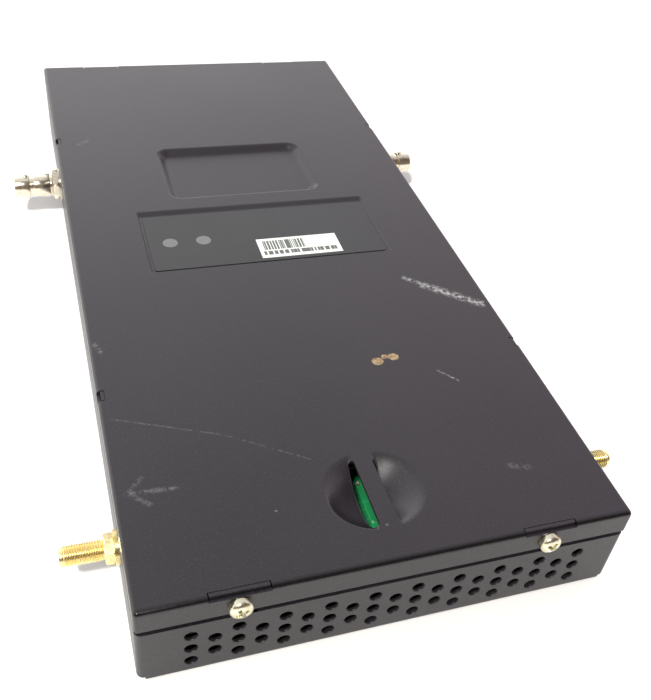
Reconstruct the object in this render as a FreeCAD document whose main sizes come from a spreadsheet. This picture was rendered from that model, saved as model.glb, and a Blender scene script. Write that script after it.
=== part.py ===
import FreeCAD
import Part
import math
import os

import Sketcher

# Indoor wireless access point: a folded steel tray and a lift-off steel cover around a main
# board with two radio cards, four aerial jacks through the side walls and a network jack in
# the rear wall. Millimetres, +Z up, +Y towards the rear, origin under the middle of the tray.

doc = FreeCAD.newDocument("wireless_access_point")

DIMENSIONS = {
    # case
    "case_width": 148.0,
    "case_length": 320.0,
    "case_height": 33.0,
    "sheet_gauge": 1.0,
    "tray_height": 23.0,
    "seam_gap": 1.7,
    "tray_bend": 1.8,
    "tray_corner": 2.0,
    "cover_bend": 1.3,
    "cover_corner": 1.2,
    "relief_size": 2.3,
    # front vents
    "vent_diameter": 3.7,
    "vent_pitch": 6.58,
    "vent_row": 3.01,
    "vent_height": 11.8,
    "vent_columns": 19.0,
    "vent_rollover": 0.35,
    # tabs that pass up into the cover, and their screws
    "tab_centre": 46.2,
    "tab_width": 16.4,
    "tab_gauge": 1.1,
    "tab_gap": 0.15,
    "tab_top_gap": 0.1,
    "tab_slot_depth": 2.4,
    "side_tab_width": 4.0,
    "side_tab_front": -79.5,
    "side_tab_rear": 84.0,
    "screw_height": 28.0,
    "screw_diameter": 2.9,
    "screw_thread": 3.0,
    "screw_length": 6.0,
    "screw_head": 6.8,
    "screw_head_height": 3.0,
    "cross_width": 0.9,
    "cross_span": 3.8,
    # cover pressings
    "recess_centre": 51.5,
    "recess_width": 66.0,
    "recess_length": 42.0,
    "recess_depth": 2.4,
    "label_centre": 0.9,
    "label_width": 92.0,
    "label_length": 35.4,
    "label_gauge": 0.3,
    "label_recess_width": 95.6,
    "label_recess_front": -18.2,
    "label_recess_rear": 22.4,
    "label_recess_depth": 0.8,
    "light_front": 0.5,
    "light_left": -37.7,
    "light_pitch": 13.0,
    "light_window": 5.8,
    "light_hole": 5.6,
    "sticker_left": -4.5,
    "sticker_width": 32.8,
    "sticker_front": -15.0,
    "sticker_length": 12.6,
    "sticker_gauge": 0.1,
    "tie_centre": -134.0,
    "tie_half_width": 10.6,
    "tie_half_length": 13.4,
    "tie_depth": 5.4,
    "tie_rim": 2.0,
    "tie_rim_depth": 0.45,
    "tie_bar_left": -3.3,
    "tie_bar_right": 3.0,
    "tie_slit": 0.9,
    # jacks
    "jack_height": 15.5,
    "bnc_offset": 77.4,
    "bnc_reach": 19.4,
    "bnc_diameter": 9.7,
    "bnc_thread": 9.4,
    "bnc_hole": 9.8,
    "sma_offset": -125.0,
    "sma_reach": 16.6,
    "sma_diameter": 6.35,
    "sma_hole": 6.6,
    "lan_centre": -20.0,
    "lan_width": 16.0,
    "lan_height": 13.4,
    "lan_depth": 21.0,
    "lan_gap": 0.3,
    # underside bracket slots
    "bracket_width": 90.0,
    "bracket_length": 200.0,
    "bracket_slot": 12.0,
    "bracket_slot_width": 5.0,
    # main board and its supports
    "board_width": 134.0,
    "board_length": 304.0,
    "board_gauge": 1.6,
    "standoff_height": 5.0,
    "standoff_flats": 5.5,
    "standoff_bore": 3.0,
    "film_gauge": 0.3,
    "support_side": 62.0,
    "support_end": 146.0,
    "support_rear": 50.0,
    "support_front": -28.0,
    "spreader_width": 50.0,
    "spreader_length": 30.0,
    "card_side": 34.0,
    "card_centre": -62.0,
    "card_width": 59.6,
    "card_length": 45.0,
    "card_height": 13.0,
    "card_gauge": 1.0,
    "coax_diameter": 1.4,
    "bnc_tail": 13.0,
    "sma_tail": 12.0,
    "plug_side": 14.0,
    "plug_diameter": 3.0,
    "plug_height": 1.9,
    "plug_barrel": 1.9,
    "plug_reach": 2.8,
}

sheet = doc.addObject("Spreadsheet::Sheet", "dims")
for row, (alias, amount) in enumerate(DIMENSIONS.items(), start=1):
    sheet.set("A%d" % row, alias)
    sheet.set("B%d" % row, str(amount))
    sheet.setAlias("B%d" % row, alias)
doc.recompute()

HALF_WIDTH = "dims.case_width / 2"
HALF_LENGTH = "dims.case_length / 2"
WALL_INSIDE = "(dims.case_width / 2 - dims.sheet_gauge)"
BOARD_TOP = "(dims.sheet_gauge + dims.standoff_height + dims.board_gauge)"
BOARD_BOTTOM = "(dims.sheet_gauge + dims.standoff_height)"
COVER_BOTTOM = "(dims.tray_height + dims.seam_gap)"
LABEL_FLOOR = "(dims.case_height - dims.label_recess_depth)"


def arc_radius(half_chord, sag):
    """The radius of an arc from half its chord and its sag."""
    return "((pow(%s; 2) + pow(%s; 2)) / 2 / %s)" % (half_chord, sag, sag)


TIE_RADIUS = arc_radius("dims.tie_half_length", "dims.tie_depth")
TIE_RISE = "(%s - dims.tie_depth)" % arc_radius("dims.tie_half_width", "dims.tie_depth")
RIM_RADIUS = arc_radius("(dims.tie_half_length + dims.tie_rim)", "dims.tie_rim_depth")
RIM_RISE = "(%s - dims.tie_rim_depth)" % arc_radius("(dims.tie_half_width + dims.tie_rim)", "dims.tie_rim_depth")
SUPPORTS = [
    (side, place)
    for side in ("-dims.support_side", "dims.support_side")
    for place in ("-dims.support_end", "dims.support_front", "dims.support_rear", "dims.support_end")
]
BRACKET_SLOTS = [
    (side, place)
    for side in ("-dims.bracket_width / 2", "dims.bracket_width / 2")
    for place in ("-dims.bracket_length / 2", "dims.bracket_length / 2")
]

LIGHTS = ("dims.light_left", "dims.light_left + dims.light_pitch")
LEFT_PLUGS = "dims.card_centre + dims.card_length / 2 - 5"
RIGHT_PLUGS = "dims.card_centre - dims.card_length / 2 + 5"

nodes = []


# ---------------------------------------------------------------- helpers


def number(expression):
    """The value that a sheet expression has now, in millimetres."""
    return float(sheet.evalExpression(expression))


def new_body(name):
    body = doc.addObject("PartDesign::Body", name)
    body.Label = name
    body.AllowCompound = True
    nodes.append(body)
    return body


def origin_plane(body, role):
    return next(plane for plane in body.Origin.OriginFeatures if plane.Role == role)


def origin_axis(body, role):
    return next(axis for axis in body.Origin.OriginFeatures if axis.Role == role)


def new_sketch(body, name, role, out="0", across="0", up="0"):
    """A sketch on an origin plane, moved out along the plane's normal and within the plane."""
    sketch = body.newObject("Sketcher::SketchObject", name)
    sketch.AttachmentSupport = [(origin_plane(body, role), "")]
    sketch.MapMode = "FlatFace"
    sketch.setExpression("AttachmentOffset.Base.x", across)
    sketch.setExpression("AttachmentOffset.Base.y", up)
    sketch.setExpression("AttachmentOffset.Base.z", out)
    return sketch


def fix_value(sketch, constraint, label, expression):
    index = sketch.addConstraint(constraint)
    word = "%s_%d" % (label, index)
    sketch.renameConstraint(index, word)
    sketch.setExpression("Constraints." + word, expression)


def fix_point(sketch, line, end, across, up):
    fix_value(sketch, Sketcher.Constraint("DistanceX", -1, 1, line, end, number(across)), "across", across)
    fix_value(sketch, Sketcher.Constraint("DistanceY", -1, 1, line, end, number(up)), "up", up)


def polygon(sketch, corners):
    """A closed outline of straight lines through corners given as sheet expressions."""
    places = [FreeCAD.Vector(number(across), number(up), 0) for across, up in corners]
    count = len(places)
    first = len(sketch.Geometry)
    for index in range(count):
        sketch.addGeometry(Part.LineSegment(places[index], places[(index + 1) % count]))
    for index in range(count):
        following = first + (index + 1) % count
        sketch.addConstraint(Sketcher.Constraint("Coincident", first + index, 2, following, 1))
    for index, (across, up) in enumerate(corners):
        fix_point(sketch, first + index, 1, across, up)


def rectangle(sketch, left, right, low, high):
    polygon(sketch, [(left, low), (right, low), (right, high), (left, high)])


def circle(sketch, across, up, diameter):
    centre = FreeCAD.Vector(number(across), number(up), 0)
    curve = sketch.addGeometry(Part.Circle(centre, FreeCAD.Vector(0, 0, 1), number(diameter) / 2))
    fix_value(sketch, Sketcher.Constraint("Diameter", curve, number(diameter)), "diameter", diameter)
    fix_point(sketch, curve, 3, across, up)


def hexagon(sketch, across, up, flats):
    """A hexagon with two flats upright, given the distance across its flats."""
    half = "(%s) / 2" % flats
    point = "(%s) / 2 / cos(30 deg)" % flats
    short = "(%s) / 2 * tan(30 deg)" % flats
    corners = [
        ("%s + %s" % (across, half), "%s - %s" % (up, short)),
        ("%s + %s" % (across, half), "%s + %s" % (up, short)),
        (across, "%s + %s" % (up, point)),
        ("%s - %s" % (across, half), "%s + %s" % (up, short)),
        ("%s - %s" % (across, half), "%s - %s" % (up, short)),
        (across, "%s - %s" % (up, point)),
    ]
    polygon(sketch, corners)


def extrude(body, kind, sketch, length, reverse=False, taper=None, both_ways=False):
    """A Pad or a Pocket of the sketch."""
    feature = body.newObject("PartDesign::" + kind, sketch.Name + "_" + kind.lower())
    feature.Profile = sketch
    feature.setExpression("Length", length)
    feature.Reversed = reverse
    feature.Midplane = both_ways
    if taper is not None:
        feature.TaperAngle = taper
    body.Tip = feature
    doc.recompute()
    return feature


def pad(body, sketch, length, **options):
    return extrude(body, "Pad", sketch, length, **options)


def pocket(body, sketch, length, **options):
    before = body.Shape.Volume
    feature = extrude(body, "Pocket", sketch, length, **options)
    if not body.Shape.Volume < before - 0.001:
        raise RuntimeError("%s cuts nothing" % feature.Name)
    return feature


def turn(body, kind, sketch, axis="H_Axis"):
    """A Revolution or a Groove of the sketch about one of its own axes."""
    feature = body.newObject("PartDesign::" + kind, sketch.Name + "_" + kind.lower())
    feature.Profile = sketch
    feature.ReferenceAxis = (sketch, [axis])
    feature.Angle = 360.0
    body.Tip = feature
    doc.recompute()
    return feature


def mirror(body, role, features):
    feature = body.newObject("PartDesign::Mirrored", body.Name + "_mirror_" + role[:2].lower())
    feature.Originals = features
    feature.MirrorPlane = (origin_plane(body, role), [""])
    body.Tip = feature
    doc.recompute()
    return feature


def row_of(body, features, direction_sketch, count, spacing):
    """A straight row of features along the sketch's level axis."""
    feature = body.newObject("PartDesign::LinearPattern", features[0].Name + "_row")
    feature.Originals = features
    feature.Direction = (direction_sketch, ["H_Axis"])
    feature.Mode = "Spacing"
    feature.setExpression("Offset", spacing)
    feature.setExpression("Occurrences", count)
    body.Tip = feature
    doc.recompute()
    return feature


def edge_names(shape, test):
    return ["Edge%d" % (index + 1) for index, edge in enumerate(shape.Edges) if test(edge)]


def fillet(body, name, radius, test):
    base = body.Tip
    feature = body.newObject("PartDesign::Fillet", name)
    feature.Base = (base, edge_names(base.Shape, test))
    feature.setExpression("Radius", radius)
    body.Tip = feature
    doc.recompute()
    return feature


def is_upright(edge):
    box = edge.BoundBox
    return box.ZLength > 0.05 and box.XLength < 1e-6 and box.YLength < 1e-6


def lies_at_height(height):
    return lambda edge: abs(edge.BoundBox.ZMin - height) < 1e-4 and abs(edge.BoundBox.ZMax - height) < 1e-4


def block(name, left, right, front, rear, low, high):
    """A plain block between six planes given as sheet expressions."""
    box = doc.addObject("Part::Box", name)
    box.Label = name
    box.setExpression("Length", "(%s) - (%s)" % (right, left))
    box.setExpression("Width", "(%s) - (%s)" % (rear, front))
    box.setExpression("Height", "(%s) - (%s)" % (high, low))
    box.setExpression("Placement.Base.x", left)
    box.setExpression("Placement.Base.y", front)
    box.setExpression("Placement.Base.z", low)
    nodes.append(box)
    return box


def plate(name, outlines, low, gauge):
    """A flat body from one sketch: outlines is a function that draws on it."""
    body = new_body(name)
    sketch = new_sketch(body, name + "_outline", "XY_Plane", out=low)
    outlines(sketch)
    pad(body, sketch, gauge)
    return body


def turned_jack(name, offset, profile, side=1):
    """A piece turned about a side jack's axis; side is 1 on the right and -1 on the left.

    profile is a list of (distance out from the wall's outer face, radius)."""
    body = new_body(name)
    sketch = new_sketch(body, name + "_profile", "XY_Plane", out="dims.jack_height", up=offset)
    sign = "" if side > 0 else "-"
    polygon(sketch, [("%s(%s + %s)" % (sign, HALF_WIDTH, out), radius) for out, radius in profile])
    turn(body, "Revolution", sketch)
    return body


def turned_pair(name, offset, profile):
    """The same piece on both sides, as two separate solids."""
    body = turned_jack(name, offset, profile)
    mirror(body, "YZ_Plane", [body.Tip])
    return body


def nut_pair(name, offset, out, flats, bore, gauge):
    """A hexagon nut on each side wall, out from the wall's outer face."""
    body = new_body(name)
    sketch = new_sketch(body, name + "_outline", "YZ_Plane", out="%s + %s" % (HALF_WIDTH, out))
    hexagon(sketch, offset, "dims.jack_height", flats)
    circle(sketch, offset, "dims.jack_height", bore)
    nut = pad(body, sketch, gauge)
    mirror(body, "YZ_Plane", [nut])
    return body


def cross(sketch, across, up, width, span):
    """A plus sign, for a cross-head recess."""
    small = "%s / 2" % width
    large = "%s / 2" % span
    signs = [("-", "+"), ("+", "+"), ("+", "-"), ("-", "-")]
    corners = []
    for index, (sideways, upward) in enumerate(signs):
        narrow = ("%s %s %s" % (across, sideways, small), "%s %s %s" % (up, upward, large))
        inner = ("%s %s %s" % (across, sideways, small), "%s %s %s" % (up, upward, small))
        wide = ("%s %s %s" % (across, sideways, large), "%s %s %s" % (up, upward, small))
        corners += [wide, inner, narrow] if index % 2 == 0 else [narrow, inner, wide]
    polygon(sketch, corners)


# ---------------------------------------------------------------- case


def build_base_tray():
    body = new_body("base_tray")
    outline = new_sketch(body, "tray_outline", "XY_Plane")
    rectangle(outline, "-" + HALF_WIDTH, HALF_WIDTH, "-" + HALF_LENGTH, HALF_LENGTH)
    pad(body, outline, "dims.tray_height")
    fillet(body, "tray_corners", "dims.tray_corner", is_upright)
    fillet(body, "tray_bends", "dims.tray_bend", lies_at_height(0.0))
    solid = body.Tip
    top = [
        "Face%d" % (index + 1)
        for index, face in enumerate(solid.Shape.Faces)
        if face.BoundBox.ZMin > number("dims.tray_height") - 1e-4
    ]
    shell = body.newObject("PartDesign::Thickness", "tray_shell")
    shell.Base = (solid, top)
    shell.setExpression("Value", "dims.sheet_gauge")
    shell.Reversed = True
    body.Tip = shell
    doc.recompute()
    cut_corner_reliefs(body)
    cut_front_vents(body)
    cut_jack_holes(body)
    cut_bracket_slots(body)
    add_screw_tabs(body)
    add_side_tabs(body)


def cut_corner_reliefs(body):
    """Square reliefs where the bends of two walls meet at a bottom corner."""
    relief = new_sketch(body, "corner_reliefs", "XY_Plane")
    inner_x = "(dims.case_width / 2 - dims.relief_size)"
    inner_y = "(dims.case_length / 2 - dims.relief_size)"
    outer_x = "(dims.case_width / 2 + 1)"
    outer_y = "(dims.case_length / 2 + 1)"
    for left, right in ((inner_x, outer_x), ("-" + outer_x, "-" + inner_x)):
        for front, rear in ((inner_y, outer_y), ("-" + outer_y, "-" + inner_y)):
            rectangle(relief, left, right, front, rear)
    pocket(body, relief, "dims.relief_size", reverse=True)


def cut_front_vents(body):
    wall = HALF_LENGTH + " + 1"
    full = new_sketch(body, "vent_column_of_three", "XZ_Plane", out=wall)
    outer = "-dims.vent_pitch * (dims.vent_columns - 1) / 2"
    for row in ("- 2 * dims.vent_row", "", "+ 2 * dims.vent_row"):
        circle(full, outer, "dims.vent_height " + row, "dims.vent_diameter")
    three = pocket(body, full, "dims.sheet_gauge + 2")
    row_of(body, [three], full, "(dims.vent_columns + 1) / 2", "2 * dims.vent_pitch")
    short = new_sketch(body, "vent_column_of_two", "XZ_Plane", out=wall)
    for row in ("- dims.vent_row", "+ dims.vent_row"):
        circle(short, outer + " + dims.vent_pitch", "dims.vent_height " + row, "dims.vent_diameter")
    two = pocket(body, short, "dims.sheet_gauge + 2")
    row_of(body, [two], short, "(dims.vent_columns - 1) / 2", "2 * dims.vent_pitch")
    fillet(body, "vent_rollovers", "dims.vent_rollover", is_outer_vent_edge)


def is_outer_vent_edge(edge):
    """Punching rounds each vent hole's edge on the outside of the front wall."""
    box = edge.BoundBox
    outside = -number("dims.case_length") / 2
    in_face = abs(box.YMin - outside) < 1e-4 and abs(box.YMax - outside) < 1e-4
    return in_face and all(abs(span - number("dims.vent_diameter")) < 0.05 for span in (box.XLength, box.ZLength))


def cut_jack_holes(body):
    sides = new_sketch(body, "aerial_jack_holes", "YZ_Plane")
    circle(sides, "dims.bnc_offset", "dims.jack_height", "dims.bnc_hole")
    circle(sides, "dims.sma_offset", "dims.jack_height", "dims.sma_hole")
    pocket(body, sides, "dims.case_width + 4", both_ways=True)
    rear = new_sketch(body, "network_jack_hole", "XZ_Plane", out="-" + HALF_LENGTH + " - 1")
    rectangle(
        rear,
        "dims.lan_centre - dims.lan_width / 2 - dims.lan_gap",
        "dims.lan_centre + dims.lan_width / 2 + dims.lan_gap",
        BOARD_TOP + " - dims.lan_gap",
        BOARD_TOP + " + dims.lan_height + dims.lan_gap",
    )
    pocket(body, rear, "dims.sheet_gauge + 2", reverse=True)


def cut_bracket_slots(body):
    slots = new_sketch(body, "bracket_slot_middles", "XY_Plane")
    ends = new_sketch(body, "bracket_slot_ends", "XY_Plane")
    straight = "(dims.bracket_slot - dims.bracket_slot_width) / 2"
    half = "dims.bracket_slot_width / 2"
    for side, place in BRACKET_SLOTS:
        rectangle(
            slots,
            "%s - %s" % (side, straight),
            "%s + %s" % (side, straight),
            "%s - %s" % (place, half),
            "%s + %s" % (place, half),
        )
        circle(ends, "%s - %s" % (side, straight), place, "dims.bracket_slot_width")
        circle(ends, "%s + %s" % (side, straight), place, "dims.bracket_slot_width")
    pocket(body, slots, "2 * dims.sheet_gauge + 2", both_ways=True)
    pocket(body, ends, "2 * dims.sheet_gauge + 2", both_ways=True)


def add_screw_tabs(body):
    """Four tabs, set in by the cover's gauge, whose tops show in the cover's slots."""
    inner_wall = HALF_LENGTH + " - dims.sheet_gauge"
    face = inner_wall + " - dims.tab_gap"
    back = face + " - dims.tab_gauge"
    tab = new_sketch(body, "screw_tab", "YZ_Plane", out="dims.tab_centre - dims.tab_width / 2")
    corners = [
        (back, "dims.tray_height - 3"),
        (inner_wall + " + 0.2", "dims.tray_height - 3"),
        (inner_wall + " + 0.2", "dims.tray_height - 0.1"),
        (face, "dims.tray_height - 0.1"),
        (face, "dims.case_height - dims.tab_top_gap"),
        (back, "dims.case_height - dims.tab_top_gap"),
    ]
    polygon(tab, corners)
    rear_right = pad(body, tab, "dims.tab_width")
    front = new_sketch(body, "front_screw_tab", "YZ_Plane", out="dims.tab_centre - dims.tab_width / 2")
    polygon(front, [("-(%s)" % across, up) for across, up in corners])
    front_right = pad(body, front, "dims.tab_width")
    mirror(body, "YZ_Plane", [rear_right, front_right])
    threads = new_sketch(body, "screw_threads", "XZ_Plane")
    circle(threads, "dims.tab_centre", "dims.screw_height", "dims.screw_thread")
    circle(threads, "-dims.tab_centre", "dims.screw_height", "dims.screw_thread")
    pocket(body, threads, "dims.case_length", both_ways=True)


def add_side_tabs(body):
    """Four small locating tabs on the long walls."""
    inner_wall = WALL_INSIDE
    face = inner_wall + " - dims.tab_gap"
    back = face + " - dims.tab_gauge"
    corners = [
        (back, "dims.tray_height - 2.4"),
        (inner_wall + " + 0.2", "dims.tray_height - 2.4"),
        (inner_wall + " + 0.2", "dims.tray_height - 0.1"),
        (face, "dims.tray_height - 0.1"),
        (face, "dims.case_height - dims.tab_top_gap"),
        (back, "dims.case_height - dims.tab_top_gap"),
    ]
    tabs = []
    for word, place in (("front", "dims.side_tab_front"), ("rear", "dims.side_tab_rear")):
        tab = new_sketch(
            body, word + "_side_tab", "XZ_Plane", out="-(%s) - dims.side_tab_width / 2" % place
        )
        polygon(tab, corners)
        tabs.append(pad(body, tab, "dims.side_tab_width"))
    mirror(body, "YZ_Plane", tabs).Label = "left_side_tabs"


def build_cover():
    body = new_body("cover")
    outline = new_sketch(body, "cover_outline", "XY_Plane", out=COVER_BOTTOM)
    rectangle(outline, "-" + HALF_WIDTH, HALF_WIDTH, "-" + HALF_LENGTH, HALF_LENGTH)
    pad(body, outline, "dims.case_height - " + COVER_BOTTOM)
    fillet(body, "cover_corners", "dims.cover_corner", is_upright)
    fillet(body, "cover_bends", "dims.cover_bend", lies_at_height(number("dims.case_height")))
    solid = body.Tip
    underside = [
        "Face%d" % (index + 1)
        for index, face in enumerate(solid.Shape.Faces)
        if face.BoundBox.ZMax < number(COVER_BOTTOM) + 1e-4
    ]
    shell = body.newObject("PartDesign::Thickness", "cover_shell")
    shell.Base = (solid, underside)
    shell.setExpression("Value", "dims.sheet_gauge")
    shell.Reversed = True
    body.Tip = shell
    doc.recompute()
    press_recess(
        body,
        "recess",
        "-dims.recess_width / 2",
        "dims.recess_width / 2",
        "dims.recess_centre - dims.recess_length / 2",
        "dims.recess_centre + dims.recess_length / 2",
        "dims.recess_depth",
    )
    press_recess(
        body,
        "label_recess",
        "-dims.label_recess_width / 2",
        "dims.label_recess_width / 2",
        "dims.label_recess_front",
        "dims.label_recess_rear",
        "dims.label_recess_depth",
    )
    cut_light_holes(body)
    press_tie_bowl(body)
    cut_tab_slots(body)
    cut_screw_notches(body)


def press_recess(body, name, left, right, front, rear, depth):
    """A pressed pocket with sloping walls and the same gauge of metal under it."""
    under = new_sketch(body, name + "_under", "XY_Plane", out="dims.case_height - dims.sheet_gauge")
    rectangle(under, left, right, front, rear)
    pad(body, under, depth, reverse=True, taper=-45.0)
    over = new_sketch(body, name + "_over", "XY_Plane", out="dims.case_height")
    rectangle(over, left, right, front, rear)
    pocket(body, over, depth, taper=-45.0)
    rim = number("dims.case_height")
    floor = rim - number(depth)
    inside = (number(left) - 0.1, number(right) + 0.1, number(front) - 0.1, number(rear) + 0.1)

    def in_recess(edge):
        box = edge.BoundBox
        return box.XMin > inside[0] and box.XMax < inside[1] and box.YMin > inside[2] and box.YMax < inside[3]

    def is_corner(edge):
        box = edge.BoundBox
        return in_recess(edge) and abs(box.ZMax - rim) < 1e-4 and abs(box.ZMin - floor) < 1e-4

    def is_floor(edge):
        return in_recess(edge) and lies_at_height(floor)(edge)

    fillet(body, name + "_corners", "1.6 * %s" % depth, is_corner)
    fillet(body, name + "_floor_edge", "0.6 * %s" % depth, is_floor)


def cut_light_holes(body):
    holes = new_sketch(body, "light_holes", "XY_Plane", out="dims.case_height + 1")
    for across in LIGHTS:
        circle(holes, across, "dims.light_front", "dims.light_hole")
    pocket(body, holes, "6")


def arc_profile(sketch, half_length, radius, rise):
    """An arc that sags below the sketch's level axis, closed by that axis."""
    level = "-" + rise
    centre = number("dims.tie_centre")
    reach = number(half_length)
    height = number(level)
    sag = number(radius) - (number(radius) ** 2 - reach**2) ** 0.5
    start = FreeCAD.Vector(centre - reach, height, 0)
    lowest = FreeCAD.Vector(centre, height - sag, 0)
    end = FreeCAD.Vector(centre + reach, height, 0)
    axis_start = FreeCAD.Vector(centre - reach, 0, 0)
    axis_end = FreeCAD.Vector(centre + reach, 0, 0)
    arc = sketch.addGeometry(Part.Arc(start, lowest, end))
    rear = sketch.addGeometry(Part.LineSegment(end, axis_end))
    axis = sketch.addGeometry(Part.LineSegment(axis_end, axis_start))
    front = sketch.addGeometry(Part.LineSegment(axis_start, start))
    sketch.addConstraint(Sketcher.Constraint("Coincident", arc, 2, rear, 1))
    sketch.addConstraint(Sketcher.Constraint("Coincident", rear, 2, axis, 1))
    sketch.addConstraint(Sketcher.Constraint("Coincident", axis, 2, front, 1))
    sketch.addConstraint(Sketcher.Constraint("Coincident", front, 2, arc, 1))
    fix_point(sketch, rear, 1, "dims.tie_centre + " + half_length, level)
    fix_point(sketch, axis, 1, "dims.tie_centre + " + half_length, "0")
    fix_point(sketch, axis, 2, "dims.tie_centre - " + half_length, "0")
    fix_point(sketch, front, 2, "dims.tie_centre - " + half_length, level)
    fix_value(sketch, Sketcher.Constraint("Radius", arc, number(radius)), "radius", radius)


def press_tie_bowl(body):
    """An oval dish with an eased rim, under a bar left at the cover's level.

    Both faces of the dish are turned about one line above the cover, parallel to Y."""
    axis_height = "dims.case_height + " + TIE_RISE
    outer_radius = "(%s + dims.sheet_gauge)" % TIE_RADIUS
    outer_reach = "sqrt(pow(%s; 2) - pow(%s - dims.tie_depth; 2))" % (outer_radius, TIE_RADIUS)
    below = new_sketch(body, "tie_dish_under", "YZ_Plane", up=axis_height)
    arc_profile(below, outer_reach, outer_radius, TIE_RISE)
    turn(body, "Revolution", below)
    level = new_sketch(body, "cover_level", "XY_Plane", out="dims.case_height")
    rectangle(level, "-" + HALF_WIDTH, HALF_WIDTH, "-" + HALF_LENGTH, HALF_LENGTH)
    pocket(body, level, "3 * " + TIE_RADIUS, reverse=True)
    above = new_sketch(body, "tie_dish_over", "YZ_Plane", up=axis_height)
    arc_profile(above, "dims.tie_half_length", TIE_RADIUS, TIE_RISE)
    turn(body, "Groove", above)
    rim = new_sketch(body, "tie_dish_rim", "YZ_Plane", up="dims.case_height + " + RIM_RISE)
    arc_profile(rim, "(dims.tie_half_length + dims.tie_rim)", RIM_RADIUS, RIM_RISE)
    turn(body, "Groove", rim)
    opening = new_sketch(body, "tie_opening", "XY_Plane", out="dims.case_height + 1")
    rectangle(
        opening,
        "dims.tie_bar_left - dims.tie_slit",
        "dims.tie_bar_right + dims.tie_slit",
        "dims.tie_centre - dims.tie_half_length",
        "dims.tie_centre + dims.tie_half_length",
    )
    pocket(body, opening, "12")
    bar = new_sketch(body, "tie_bar", "XY_Plane", out="dims.case_height - dims.sheet_gauge")
    rectangle(
        bar,
        "dims.tie_bar_left",
        "dims.tie_bar_right",
        "dims.tie_centre - dims.tie_half_length - dims.tie_rim - 1",
        "dims.tie_centre + dims.tie_half_length + dims.tie_rim + 1",
    )
    pad(body, bar, "dims.sheet_gauge")


def cut_tab_slots(body):
    """Slots at the cover's folds through which the tray's tab tops show."""
    low = "dims.case_height - 1.4"
    slots = new_sketch(body, "screw_tab_slots", "XY_Plane", out="dims.case_height + 1")
    inner = HALF_LENGTH + " - dims.tab_slot_depth"
    near = "dims.tab_centre - dims.tab_width / 2 - 0.35"
    far = "dims.tab_centre + dims.tab_width / 2 + 0.35"
    rectangle(slots, near, far, inner, HALF_LENGTH + " + 1")
    rectangle(slots, near, far, "-" + HALF_LENGTH + " - 1", "-(" + inner + ")")
    right = pocket(body, slots, "dims.case_height + 1 - (" + low + ")")
    mirror(body, "YZ_Plane", [right]).Label = "left_screw_tab_slots"
    sides = new_sketch(body, "side_tab_slots", "XY_Plane", out="dims.case_height + 1")
    inner = HALF_WIDTH + " - dims.tab_slot_depth"
    for place in ("dims.side_tab_front", "dims.side_tab_rear"):
        rectangle(
            sides,
            inner,
            HALF_WIDTH + " + 1",
            "%s - dims.side_tab_width / 2 - 0.3" % place,
            "%s + dims.side_tab_width / 2 + 0.3" % place,
        )
    right = pocket(body, sides, "dims.case_height + 1 - (" + low + ")")
    mirror(body, "YZ_Plane", [right]).Label = "left_side_tab_slots"


def cut_screw_notches(body):
    """Notches, open downwards, that let the cover slide over the screws."""
    notch = new_sketch(body, "screw_notches", "XZ_Plane")
    ends = new_sketch(body, "screw_notch_ends", "XZ_Plane")
    half = "(dims.screw_thread / 2 + 0.4)"
    for centre in ("dims.tab_centre", "-dims.tab_centre"):
        rectangle(
            notch, "%s - %s" % (centre, half), "%s + %s" % (centre, half), COVER_BOTTOM + " - 1", "dims.screw_height"
        )
        circle(ends, centre, "dims.screw_height", "2 * " + half)
    pocket(body, notch, "dims.case_length + 4", both_ways=True)
    pocket(body, ends, "dims.case_length + 4", both_ways=True)


# ---------------------------------------------------------------- label


def build_label():
    floor = LABEL_FLOOR
    overlay = new_body("label_overlay")
    outline = new_sketch(overlay, "overlay_outline", "XY_Plane", out=floor)
    rectangle(
        outline,
        "-dims.label_width / 2",
        "dims.label_width / 2",
        "dims.label_centre - dims.label_length / 2",
        "dims.label_centre + dims.label_length / 2",
    )
    pad(overlay, outline, "dims.label_gauge")
    fillet(overlay, "overlay_corners", "1.2", is_upright)
    openings = new_sketch(overlay, "light_openings", "XY_Plane", out=floor + " + 1")
    for across in LIGHTS:
        circle(openings, across, "dims.light_front", "dims.light_window + 0.1")
    pocket(overlay, openings, "2")

    def windows(sketch):
        for across in LIGHTS:
            circle(sketch, across, "dims.light_front", "dims.light_window")

    plate("light_windows", windows, floor, "dims.label_gauge")
    block(
        "serial_sticker",
        "dims.sticker_left",
        "dims.sticker_left + dims.sticker_width",
        "dims.sticker_front",
        "dims.sticker_front + dims.sticker_length",
        floor + " + dims.label_gauge",
        floor + " + dims.label_gauge + dims.sticker_gauge",
    )


# ---------------------------------------------------------------- screws


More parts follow.
